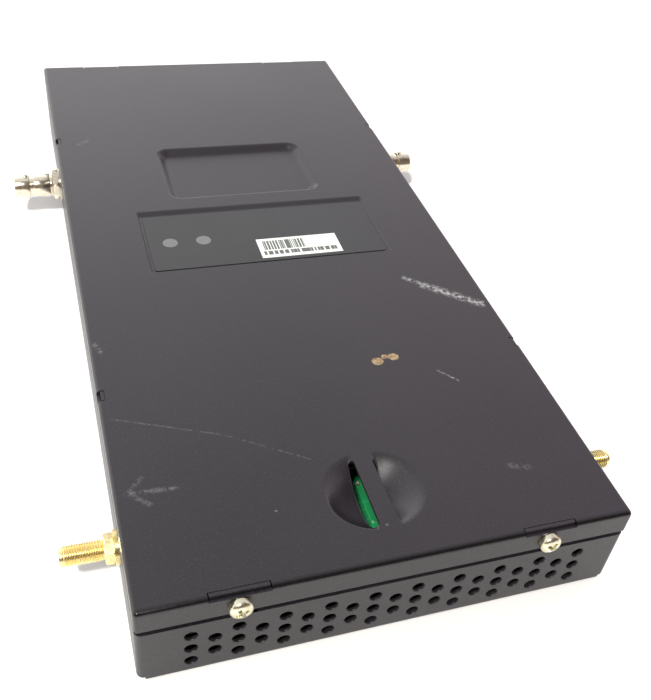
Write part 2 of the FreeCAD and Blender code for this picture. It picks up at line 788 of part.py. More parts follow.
def build_cover_screw(name, side, end):
    """A pan-head cross-recess screw through a cover notch into a tray tab.

    side is 1 on the right and -1 on the left; end is 1 at the rear and -1 at the front."""
    body = new_body(name)
    centre = "dims.tab_centre" if side > 0 else "-dims.tab_centre"
    sketch = new_sketch(body, name + "_profile", "XY_Plane", out="dims.screw_height", across=centre)
    sign = "" if end > 0 else "-"
    seat = HALF_LENGTH + " + 0.05"
    crown = seat + " + dims.screw_head_height"
    tip = seat + " - dims.screw_length"
    corners = [
        ("0", tip),
        ("dims.screw_diameter / 2 - 0.5", tip),
        ("dims.screw_diameter / 2", tip + " + 0.5"),
        ("dims.screw_diameter / 2", seat),
        ("dims.screw_head / 2", seat),
        ("dims.screw_head / 2", seat + " + 0.55 * dims.screw_head_height"),
        ("0.46 * dims.screw_head", seat + " + 0.78 * dims.screw_head_height"),
        ("0.36 * dims.screw_head", seat + " + 0.94 * dims.screw_head_height"),
        ("0.2 * dims.screw_head", crown),
        ("0", crown),
    ]
    polygon(sketch, [(across, "%s(%s)" % (sign, along)) for across, along in corners])
    turn(body, "Revolution", sketch, axis="V_Axis")
    out = "-(%s) - 1" % crown if end > 0 else crown + " + 1"
    recess = new_sketch(body, name + "_cross", "XZ_Plane", out=out)
    cross(recess, centre, "dims.screw_height", "dims.cross_width", "dims.cross_span")
    pocket(body, recess, "1 + 0.65 * dims.screw_head_height", reverse=end > 0)


# ---------------------------------------------------------------- aerial jacks


def build_bnc_jacks():
    offset = "dims.bnc_offset"
    barrel = "dims.bnc_diameter / 2"
    thread = "dims.bnc_thread / 2"
    neck = "dims.bnc_diameter / 2 - 0.7"
    tip = "dims.bnc_reach"
    shell = [
        ("-13", "1.2"),
        ("-13", "3"),
        ("-9", "3"),
        ("-9", "4.4"),
        ("-4.2", "4.4"),
        ("-4.2", "6.3"),
        ("-1.02", "6.3"),
        ("-1.02", thread),
        ("6", thread),
        ("6.3", barrel),
        (tip + " - 8.4", barrel),
        (tip + " - 8.1", neck),
        (tip + " - 6.2", neck),
        (tip + " - 5.9", barrel),
        (tip + " - 0.3", barrel),
        (tip, barrel + " - 0.3"),
        (tip, barrel + " - 0.75"),
        ("9", barrel + " - 0.75"),
        ("9", "2.5"),
        ("-9", "2.5"),
        ("-9", "1.2"),
    ]
    for side, word in ((1, "right"), (-1, "left")):
        body = turned_jack(word + "_bnc_shell", offset, shell, side)
        add_bayonet_lugs(body, side)
    dielectric = [("-8.9", "0.9"), ("-8.9", "2.45"), (tip + " - 2", "2.45"), (tip + " - 2", "0.9")]
    turned_pair("bnc_dielectrics", offset, dielectric)
    contact = [("-11", "0"), ("-11", "0.8"), (tip + " - 2.5", "0.8"), (tip + " - 2.5", "0.5"), ("12", "0.5"), ("12", "0")]
    turned_pair("bnc_contacts", offset, contact)
    washer = [("0.02", thread + " + 0.15"), ("0.02", "6.9"), ("0.8", "6.9"), ("0.8", thread + " + 0.15")]
    turned_pair("bnc_washers", offset, washer)
    nut_pair("bnc_nuts", offset, "0.82", "12.7", "dims.bnc_thread + 0.2", "2.4")


def add_bayonet_lugs(body, side):
    """Two round lugs on opposite sides of the barrel, near its mouth."""
    sign = "" if side > 0 else "-"
    centre = "%s(%s + dims.bnc_reach - 4.9)" % (sign, HALF_WIDTH)
    root = "dims.bnc_diameter / 2 - 0.4"
    upper = new_sketch(body, body.Name + "_upper_lug", "XY_Plane", out="dims.jack_height + " + root)
    circle(upper, centre, "dims.bnc_offset", "2")
    pad(body, upper, "1.45")
    lower = new_sketch(body, body.Name + "_lower_lug", "XY_Plane", out="dims.jack_height - (" + root + ")")
    circle(lower, centre, "dims.bnc_offset", "2")
    pad(body, lower, "1.45", reverse=True)


def build_sma_jacks():
    offset = "dims.sma_offset"
    thread = "dims.sma_diameter / 2"
    tip = "dims.sma_reach"
    shell = [
        ("-12", "0.9"),
        ("-12", "2.1"),
        ("-8.5", "2.1"),
        ("-8.5", "3.05"),
        ("-4", "3.05"),
        ("-4", "4.6"),
        ("-1.02", "4.6"),
        ("-1.02", thread + " - 0.08"),
        ("4.1", thread + " - 0.08"),
        ("4.1", thread),
        (tip + " - 0.4", thread),
        (tip, thread + " - 0.4"),
        (tip, "2.3"),
        ("10", "2.3"),
        ("10", "2.1"),
        ("-8.4", "2.1"),
        ("-8.4", "0.9"),
    ]
    for side, word in ((1, "right"), (-1, "left")):
        turned_jack(word + "_sma_shell", offset, shell, side)
    dielectric = [("-8.3", "0.72"), ("-8.3", "2.05"), ("12", "2.05"), ("12", "0.72")]
    turned_pair("sma_dielectrics", offset, dielectric)
    contact = [("-10", "0"), ("-10", "0.65"), ("14.5", "0.65"), ("14.5", "0.45"), ("11", "0.45"), ("11", "0")]
    turned_pair("sma_contacts", offset, contact)
    washer = [("0.02", thread + " + 0.1"), ("0.02", "5.25"), ("1.2", "5.25"), ("1.2", thread + " + 0.1")]
    turned_pair("sma_washers", offset, washer)
    nut_pair("sma_nuts", offset, "1.22", "8", "dims.sma_diameter + 0.1", "2.8")


# ---------------------------------------------------------------- main board and its supports


def build_board():
    def board(sketch):
        rectangle(
            sketch,
            "-dims.board_width / 2",
            "dims.board_width / 2",
            "-dims.board_length / 2",
            "dims.board_length / 2",
        )
        for across, along in SUPPORTS:
            circle(sketch, across, along, "dims.standoff_bore + 0.4")

    def standoffs(sketch):
        for across, along in SUPPORTS:
            hexagon(sketch, across, along, "dims.standoff_flats")
            circle(sketch, across, along, "dims.standoff_bore")

    def film(sketch):
        rectangle(
            sketch,
            "-dims.support_side + dims.standoff_flats",
            "dims.support_side - dims.standoff_flats",
            "-dims.board_length / 2 + 3",
            "dims.board_length / 2 - 3",
        )
        for across, along in BRACKET_SLOTS:
            circle(sketch, across, along, "dims.bracket_slot + 4")

    plate("main_board", board, BOARD_BOTTOM, "dims.board_gauge")
    plate("board_standoffs", standoffs, "dims.sheet_gauge", "dims.standoff_height")
    plate("insulating_film", film, "dims.sheet_gauge + 0.05", "dims.film_gauge")
    build_board_screws()


def build_board_screws():
    body = new_body("board_screws")
    heads = new_sketch(body, "board_screw_heads", "XY_Plane", out=BOARD_TOP)
    shanks = new_sketch(body, "board_screw_shanks", "XY_Plane", out=BOARD_TOP + " - 4.4")
    crosses = new_sketch(body, "board_screw_crosses", "XY_Plane", out=BOARD_TOP + " + 3")
    for across, along in SUPPORTS:
        circle(heads, across, along, "5.4")
        circle(shanks, across, along, "dims.screw_diameter")
        cross(crosses, across, along, "dims.cross_width", "3")
    pad(body, heads, "2")
    top = number(BOARD_TOP) + 2
    fillet(body, "board_screw_crowns", "0.8", lies_at_height(top))
    pad(body, shanks, "4.5")
    pocket(body, crosses, "2.1")


# ---------------------------------------------------------------- electronics


def centred_block(name, across, along, width, length, low, high):
    return block(
        name,
        "%s - %s / 2" % (across, width),
        "%s + %s / 2" % (across, width),
        "%s - %s / 2" % (along, length),
        "%s + %s / 2" % (along, length),
        low,
        high,
    )


def build_processor():
    """The processor, under an aluminium spreader that meets the cover's recess through pads."""
    centre = "dims.recess_centre"
    chip_top = BOARD_TOP + " + 2.4"
    spreader_low = chip_top + " + 0.5"
    spreader_top = "dims.case_height - dims.recess_depth - dims.sheet_gauge - 0.6"
    centred_block("processor", "0", centre, "28", "28", BOARD_TOP, chip_top)
    centred_block("chip_thermal_pad", "0", centre, "24", "24", chip_top, spreader_low)
    spreader = new_body("heat_spreader")
    profile = new_sketch(spreader, "spreader_profile", "YZ_Plane")
    half = "dims.spreader_length / 2"
    rectangle(profile, "%s - %s" % (centre, half), "%s + %s" % (centre, half), spreader_low, spreader_top)
    channels = 4
    for channel in range(channels):
        left = "%s - %s + 1.6 + %d * (dims.spreader_length - 1.6) / %d" % (centre, half, channel, channels)
        right = "%s - %s + %d * (dims.spreader_length - 1.6) / %d" % (centre, half, channel + 1, channels)
        rectangle(profile, left, right, spreader_low + " + 2.5", spreader_top + " - 2")
    pad(spreader, profile, "dims.spreader_width", both_ways=True)
    centred_block("cover_thermal_pad", "0", centre, "44", "26", spreader_top, spreader_top + " + 0.55")


def build_small_chips():
    def memory(sketch):
        for along in ("60", "43"):
            rectangle(sketch, "-46", "-32", along + " - 5.5", along + " + 5.5")

    plate("memory_chips", memory, BOARD_TOP, "1.2")
    centred_block("flash_chip", "44", "8", "12", "18", BOARD_TOP, BOARD_TOP + " + 1.2")
    centred_block("power_controller", "22", "84", "8", "8", BOARD_TOP, BOARD_TOP + " + 1.6")
    centred_block("clock_crystal", "30", "50", "4.6", "11", BOARD_TOP, BOARD_TOP + " + 3.4")


def build_network_jack():
    left = "dims.lan_centre - dims.lan_width / 2"
    right = "dims.lan_centre + dims.lan_width / 2"
    mouth = HALF_LENGTH
    low = BOARD_TOP
    high = BOARD_TOP + " + dims.lan_height"
    shield = new_body("network_jack_shield")
    outline = new_sketch(shield, "jack_shield_outline", "XZ_Plane", out="-" + mouth)
    rectangle(outline, left, right, low, high)
    pad(shield, outline, "dims.lan_depth")
    hollow = new_sketch(shield, "jack_shield_hollow", "XZ_Plane", out="-" + mouth + " - 1")
    rectangle(hollow, left + " + 0.3", right + " - 0.3", low + " - 1", high + " - 0.3")
    pocket(shield, hollow, "dims.lan_depth + 0.7", reverse=True)
    housing = new_body("network_jack_housing")
    insert = new_sketch(housing, "jack_insert_outline", "XZ_Plane", out="-" + mouth + " + 0.1")
    rectangle(insert, left + " + 0.35", right + " - 0.35", low, high + " - 0.35")
    pad(housing, insert, "dims.lan_depth - 0.5")
    cavity = new_sketch(housing, "jack_cavity", "XZ_Plane", out="-" + mouth + " - 1")
    keyway = new_sketch(housing, "jack_keyway", "XZ_Plane", out="-" + mouth + " - 1")
    middle = "dims.lan_centre"
    rectangle(cavity, middle + " - 5.9", middle + " + 5.9", low + " + 3.4", low + " + 11.5")
    rectangle(keyway, middle + " - 3.1", middle + " + 3.1", low + " + 1.2", low + " + 3.5")
    pocket(housing, cavity, "15", reverse=True)
    pocket(housing, keyway, "12", reverse=True)
    contacts = new_body("network_jack_contacts")
    wire = new_sketch(contacts, "jack_wire", "YZ_Plane", out=middle + " - 3.5 * 1.02 - 0.2")
    rear = mouth + " - 13.8"
    front = mouth + " - 4"
    polygon(
        wire,
        [
            (rear, low + " + 8.3"),
            (front, low + " + 10.9"),
            (front, low + " + 11.2"),
            (rear, low + " + 8.6"),
        ],
    )
    first = pad(contacts, wire, "0.4")
    row = contacts.newObject("PartDesign::LinearPattern", "jack_wire_row")
    row.Originals = [first]
    row.Direction = (origin_axis(contacts, "X_Axis"), [""])
    row.Mode = "Spacing"
    row.Offset = 1.02
    row.Occurrences = 8
    contacts.Tip = row
    doc.recompute()
    centred_block("isolation_transformer", middle, "122", "16.5", "13", BOARD_TOP, BOARD_TOP + " + 6")


def build_power_supply():
    """The transformer, storage capacitors and chokes of the power-over-network supply."""
    centre_x = "34"
    centre_y = "112"
    core = new_body("transformer_core")
    frame = new_sketch(core, "core_profile", "XZ_Plane", out="-" + centre_y)
    rectangle(frame, centre_x + " - 11", centre_x + " + 11", BOARD_TOP + " + 0.5", BOARD_TOP + " + 14.5")
    for near, far in (("- 8.4", "- 3"), ("+ 3", "+ 8.4")):
        low = BOARD_TOP + " + 3.1"
        high = BOARD_TOP + " + 11.9"
        rectangle(frame, "%s %s" % (centre_x, near), "%s %s" % (centre_x, far), low, high)
    pad(core, frame, "12", both_ways=True)

    def winding(sketch):
        for reach_x, reach_y in (("8.2", "9.6"), ("3.1", "6.1")):
            rectangle(
                sketch,
                "%s - %s" % (centre_x, reach_x),
                "%s + %s" % (centre_x, reach_x),
                "%s - %s" % (centre_y, reach_y),
                "%s + %s" % (centre_y, reach_y),
            )

    plate("transformer_winding", winding, BOARD_TOP + " + 3.3", "8.4")
    capacitors = new_body("storage_capacitors")
    cans = new_sketch(capacitors, "capacitor_cans", "XY_Plane", out=BOARD_TOP)
    for across, along in (("4", "124"), ("4", "111"), ("4", "98")):
        circle(cans, across, along, "10")
    pad(capacitors, cans, "16")
    fillet(capacitors, "can_crowns", "0.7", lies_at_height(number(BOARD_TOP) + 16))

    def chokes(sketch):
        for along in ("134", "98"):
            rectangle(sketch, "52 - 5.5", "52 + 5.5", along + " - 5.5", along + " + 5.5")

    plate("filter_chokes", chokes, BOARD_TOP, "6")


def build_radio(word, side, socket_end):
    """A radio card on its edge socket; socket_end is 1 with the socket at the card's rear."""
    across = "dims.card_side" if side > 0 else "-dims.card_side"
    centre = "dims.card_centre"
    centred_block(
        word + "_radio_card",
        across,
        centre,
        "dims.card_width",
        "dims.card_length",
        "dims.card_height",
        "dims.card_height + dims.card_gauge",
    )
    centred_block(
        word + "_radio_shield",
        across,
        "%s + %d * 3.5" % (centre, socket_end),
        "46",
        "27",
        "dims.card_height + dims.card_gauge",
        "dims.card_height + dims.card_gauge + 2.8",
    )
    socket = new_body(word + "_card_socket")
    start = "dims.card_side - 28" if side > 0 else "-dims.card_side - 28"
    sketch = new_sketch(socket, word + "_socket_profile", "YZ_Plane", out=start)
    edge = "%s + %d * (dims.card_length / 2 - 3)" % (centre, socket_end)
    bed = "%s + %d * (dims.card_length / 2 + 0.1)" % (centre, socket_end)
    back = "%s + %d * (dims.card_length / 2 + 3)" % (centre, socket_end)
    card_low = "dims.card_height - 0.05"
    card_high = "dims.card_height + dims.card_gauge + 0.05"
    polygon(
        sketch,
        [
            (edge, BOARD_TOP),
            (back, BOARD_TOP),
            (back, card_high + " + 1"),
            (edge, card_high + " + 1"),
            (edge, card_high),
            (bed, card_high),
            (bed, card_low),
            (edge, card_low),
        ],
    )
    pad(socket, sketch, "56")


def build_card_posts():
    """The posts under the free edges of the two radio cards."""

    def posts(sketch):
        for side in ("-dims.card_side", "dims.card_side"):
            reach = "(dims.card_length / 2 - 3)"
            along = "dims.card_centre + " + reach if side.startswith("-") else "dims.card_centre - " + reach
            for step in ("- 26", "+ 26"):
                circle(sketch, "%s %s" % (side, step), along, "4")

    plate("card_posts", posts, BOARD_TOP, "dims.card_height - " + BOARD_TOP)


def build_status_lights():
    def lamps(sketch):
        for across in LIGHTS:
            front = "dims.light_front"
            rectangle(sketch, across + " - 1.5", across + " + 1.5", front + " - 1.2", front + " + 1.2")

    plate("status_lights", lamps, BOARD_TOP, "1.6")
    pipes = new_body("light_pipes")
    columns = new_sketch(pipes, "light_columns", "XY_Plane", out=BOARD_TOP)
    hollows = new_sketch(pipes, "light_hollows", "XY_Plane", out=BOARD_TOP + " - 1")
    for across in LIGHTS:
        circle(columns, across, "dims.light_front", "dims.light_hole - 0.6")
        circle(hollows, across, "dims.light_front", "4")
    pad(pipes, columns, LABEL_FLOOR + " - 0.1 - " + BOARD_TOP)
    pocket(pipes, hollows, "2.9", reverse=True)


def build_coax(name, stops):
    """A thin aerial lead: straight runs joined by arcs as large as the runs leave room for."""
    places = [FreeCAD.Vector(*[number(value) for value in stop]) for stop in stops]
    edges = []
    radii = []
    start = places[0]
    for before, corner, after in zip(places, places[1:], places[2:]):
        incoming = (corner - before).normalize()
        outgoing = (after - corner).normalize()
        inward = (outgoing - incoming).normalize()
        half_turn = incoming.getAngle(outgoing) / 2
        reach = 0.45 * min((corner - before).Length, (after - corner).Length)
        radius = reach / math.tan(half_turn)
        first = corner - incoming * reach
        middle = corner + inward * (radius / math.cos(half_turn) - radius)
        last = corner + outgoing * reach
        edges.append(Part.LineSegment(start, first).toShape())
        edges.append(Part.Arc(first, middle, last).toShape())
        radii.append(round(radius, 1))
        start = last
    edges.append(Part.LineSegment(start, places[-1]).toShape())
    route = Part.Wire(edges)
    ring = Part.makeCircle(number("dims.coax_diameter") / 2, places[0], places[1] - places[0])
    lead = doc.addObject("Part::Feature", name)
    lead.Label = name
    lead.Shape = route.makePipeShell([Part.Wire([ring])], True, False)
    nodes.append(lead)
    section = math.pi * (number("dims.coax_diameter") / 2) ** 2
    share = lead.Shape.Volume / (section * route.Length)
    print(name, "arc radii", radii, "volume over section times length", round(share, 4))


def build_leads():
    """Each jack's lead, from the jack's tail to a plug on one of the radio cards."""
    card_top = "dims.card_height + dims.card_gauge"
    plug_level = card_top + " + dims.plug_height / 2"
    bnc_tail = "(dims.case_width / 2 - dims.bnc_tail)"
    sma_tail = "(dims.case_width / 2 - dims.sma_tail)"
    left_end = LEFT_PLUGS + " + dims.plug_reach"
    right_end = RIGHT_PLUGS + " - dims.plug_reach"
    level = "dims.jack_height"
    build_coax(
        "left_bnc_lead",
        [
            ("-" + bnc_tail, "dims.bnc_offset", level),
            ("-" + bnc_tail + " + 8", "dims.bnc_offset", level),
            ("-46.6", "71", level),
            ("-48", "56", "15"),
            ("-51.5", "30", "13.4"),
            ("-52.5", "2", "13.1"),
            ("-50", "-22", "14.5"),
            ("-dims.card_side - dims.plug_side", left_end + " + 8", plug_level),
            ("-dims.card_side - dims.plug_side", left_end, plug_level),
        ],
    )
    build_coax(
        "right_bnc_lead",
        [
            (bnc_tail, "dims.bnc_offset", level),
            (bnc_tail + " - 8", "dims.bnc_offset", level),
            ("46.6", "71", level),
            ("42", "57", "15"),
            ("34", "36", "14"),
            ("17", "14", "13.8"),
            ("-3", "-6", "14.2"),
            ("-15", "-21", "14.9"),
            ("-dims.card_side + dims.plug_side", left_end + " + 9", plug_level),
            ("-dims.card_side + dims.plug_side", left_end, plug_level),
        ],
    )
    build_coax(
        "left_sma_lead",
        [
            ("-" + sma_tail, "dims.sma_offset", level),
            ("-" + sma_tail + " + 9", "dims.sma_offset", level),
            ("-38", "-121", "14.6"),
            ("-16", "-113", "13.6"),
            ("4", "-109", "13.8"),
            ("16", "-101", "14.6"),
            ("dims.card_side - dims.plug_side", right_end + " - 9", plug_level),
            ("dims.card_side - dims.plug_side", right_end, plug_level),
        ],
    )
    build_coax(
        "right_sma_lead",
        [
            (sma_tail, "dims.sma_offset", level),
            (sma_tail + " - 8.2", "dims.sma_offset", level),
            ("48.6", "-118.6", "15.4"),
            ("46.6", "-107", "15.2"),
            ("dims.card_side + dims.plug_side", right_end + " - 10.5", plug_level),
            ("dims.card_side + dims.plug_side", right_end, plug_level),
        ],
    )
    build_lead_plugs(card_top)


def build_lead_plugs(card_top):
    """Round snap-on plugs, each with a flat barrel that its lead runs into."""

    def caps(sketch):
        for card_side, along in (("-dims.card_side", LEFT_PLUGS), ("dims.card_side", RIGHT_PLUGS)):
            circle(sketch, card_side + " - dims.plug_side", along, "dims.plug_diameter")
            circle(sketch, card_side + " + dims.plug_side", along, "dims.plug_diameter")

    body = plate("lead_plugs", caps, card_top, "dims.plug_height")
    barrels = new_sketch(body, "lead_plug_barrels", "XY_Plane", out=card_top)
    half = "dims.plug_barrel / 2"
    for card_side, front, rear in (
        ("-dims.card_side", LEFT_PLUGS, LEFT_PLUGS + " + dims.plug_reach"),
        ("dims.card_side", RIGHT_PLUGS + " - dims.plug_reach", RIGHT_PLUGS),
    ):
        for sign in ("-", "+"):
            centre = "%s %s dims.plug_side" % (card_side, sign)
            rectangle(barrels, "%s - %s" % (centre, half), "%s + %s" % (centre, half), front, rear)
    pad(body, barrels, "dims.plug_height")


build_base_tray()
build_cover()
build_label()
for side, side_word in ((-1, "left"), (1, "right")):
    for end, end_word in ((-1, "front"), (1, "rear")):
        build_cover_screw("%s_%s_cover_screw" % (end_word, side_word), side, end)
build_bnc_jacks()
build_sma_jacks()
build_board()
build_processor()
build_small_chips()
build_network_jack()
build_power_supply()
build_radio("left", -1, -1)
build_radio("right", 1, 1)
build_card_posts()
build_status_lights()
build_leads()

doc.recompute()
failed = [item.Name for item in doc.Objects if "Invalid" in item.State or "Error" in item.State]
if failed:
    raise RuntimeError("failed features: " + ", ".join(failed))
for node in nodes:
    if node.Shape.isNull() or not node.Shape.isValid():
        raise RuntimeError("bad shape: " + node.Label)
os.makedirs("parts", exist_ok=True)
for node in nodes:
    node.Shape.exportStep("parts/%s.step" % node.Label)
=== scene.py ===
"""The looks of a vented wireless access point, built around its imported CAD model.

Metres, in the frame of the CAD: +Z up, +Y towards the rear, the origin under the middle."""

import math
import random

import bmesh
import bpy
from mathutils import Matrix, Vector


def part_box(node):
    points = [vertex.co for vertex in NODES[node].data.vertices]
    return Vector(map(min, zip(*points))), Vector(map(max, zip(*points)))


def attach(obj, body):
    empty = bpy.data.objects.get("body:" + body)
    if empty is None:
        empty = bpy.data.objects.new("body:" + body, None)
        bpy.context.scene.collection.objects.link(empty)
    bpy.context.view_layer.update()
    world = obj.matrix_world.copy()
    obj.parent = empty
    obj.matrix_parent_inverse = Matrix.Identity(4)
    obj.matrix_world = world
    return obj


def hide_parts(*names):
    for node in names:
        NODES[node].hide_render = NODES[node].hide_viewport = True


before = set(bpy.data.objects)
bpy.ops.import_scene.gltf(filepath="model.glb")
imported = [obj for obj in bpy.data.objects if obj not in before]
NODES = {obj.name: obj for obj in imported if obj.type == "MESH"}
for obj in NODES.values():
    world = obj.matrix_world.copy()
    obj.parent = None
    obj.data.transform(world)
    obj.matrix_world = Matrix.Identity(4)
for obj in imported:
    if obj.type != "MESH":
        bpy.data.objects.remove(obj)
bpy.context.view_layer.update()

MM = 0.001
TURN = 2 * math.pi
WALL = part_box("base_tray")[1].x
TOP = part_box("cover")[1].z
FRONT, REAR = (corner.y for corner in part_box("cover"))

# ---------------------------------------------------------------- camera, lights and floor


CAMERA_PLACE = (-0.08273, -0.28951, 0.23571)
CAMERA_ANGLES = (49.001, -6.268, -17.743)
CAMERA_LENS = 46.165
CAMERA_SHIFT = -0.0265
LAMP_PLACE = (-0.53, -0.79, 1.30)
LAMP_TARGET = (0, -0.08, 0)
LAMP_SIZE = (0.14, 0.14)
LAMP_POWER = 26
LAMP_COLOUR = (1.0, 0.98, 0.93)
WALL_COLOUR = (1.0, 0.985, 0.99, 1)
RIGHT_WALL_COLOUR = (0.66, 0.60, 0.645, 1)
ROOM_COLOUR = (0.10, 0.072, 0.058, 1)
BACKDROP_COLOUR = (0.92, 0.92, 0.92, 1)
# For each axis of the sky: the range it runs over, and the values at both ends.
SKY_RAMPS = {"Z": (0.35, 0.9, 2.05, 0.86), "Y": (-0.34, 0.10, 0.0, 1.0), "X": (0.08, 0.55, 0.0, 1.0)}
FLOOR_DROP = 0.05


def add_camera():
    camera = bpy.data.objects.new("camera", bpy.data.cameras.new("camera"))
    bpy.context.scene.collection.objects.link(camera)
    camera.location = CAMERA_PLACE
    camera.rotation_euler = [math.radians(angle) for angle in CAMERA_ANGLES]
    camera.data.lens = CAMERA_LENS
    camera.data.shift_x = CAMERA_SHIFT
    camera.data.clip_start = 0.01
    camera.data.clip_end = 20
    bpy.context.scene.camera = camera


def add_lamp():
    light = bpy.data.objects.new("lamp", bpy.data.lights.new("lamp", "AREA"))
    light.data.shape = "RECTANGLE"
    light.data.size, light.data.size_y = LAMP_SIZE
    light.data.energy = LAMP_POWER
    light.data.color = LAMP_COLOUR
    light.location = LAMP_PLACE
    aim = Vector(LAMP_TARGET) - Vector(LAMP_PLACE)
    light.rotation_euler = aim.to_track_quat("-Z", "Y").to_euler()
    bpy.context.scene.collection.objects.link(light)


def add_sky():
    """Light from a bright studio wall beyond the object, dimmer to the right, and a brown room behind
    the camera. The backdrop itself shows as one pale colour."""
    world = bpy.data.worlds.new("studio")
    world.use_nodes = True
    tree = world.node_tree
    background = tree.nodes["Background"]
    coordinates = tree.nodes.new("ShaderNodeTexCoord")
    split = tree.nodes.new("ShaderNodeSeparateXYZ")
    tree.links.new(coordinates.outputs["Generated"], split.inputs[0])
    ramps = {}
    for letter, values in SKY_RAMPS.items():
        ramp = tree.nodes.new("ShaderNodeMapRange")
        tree.links.new(split.outputs[letter], ramp.inputs["Value"])
        for name, value in zip(("From Min", "From Max", "To Min", "To Max"), values):
            ramp.inputs[name].default_value = value
        ramps[letter] = ramp.outputs["Result"]
    wall = tree.nodes.new("ShaderNodeMix")
    tint = tree.nodes.new("ShaderNodeMix")
    wall.data_type = tint.data_type = "RGBA"
    tree.links.new(ramps["X"], wall.inputs["Factor"])
    wall.inputs[6].default_value = WALL_COLOUR
    wall.inputs[7].default_value = RIGHT_WALL_COLOUR
    tree.links.new(ramps["Y"], tint.inputs["Factor"])
    tint.inputs[6].default_value = ROOM_COLOUR
    tree.links.new(wall.outputs[2], tint.inputs[7])
    tree.links.new(tint.outputs[2], background.inputs["Color"])
    tree.links.new(ramps["Z"], background.inputs["Strength"])
    backdrop = tree.nodes.new("ShaderNodeBackground")
    backdrop.inputs["Color"].default_value = BACKDROP_COLOUR
    shown = tree.nodes.new("ShaderNodeMixShader")
    ray = tree.nodes.new("ShaderNodeLightPath")
    tree.links.new(ray.outputs["Is Camera Ray"], shown.inputs[0])
    tree.links.new(background.outputs[0], shown.inputs[1])
    tree.links.new(backdrop.outputs[0], shown.inputs[2])
    tree.links.new(shown.outputs[0], tree.nodes["World Output"].inputs["Surface"])
    bpy.context.scene.world = world


def add_floor():
    """A pale floor, just under the case so that the two never share a plane."""
    bpy.ops.mesh.primitive_plane_add(size=8, location=(0, 0, -FLOOR_DROP * MM))
    floor = bpy.context.object
    floor.name = "floor"
    look = Look("floor_paper")
    look.colour((0.93, 0.93, 0.93))
    look.roughness(0.75)
    floor.data.materials.append(look.material)


# ---------------------------------------------------------------- materials


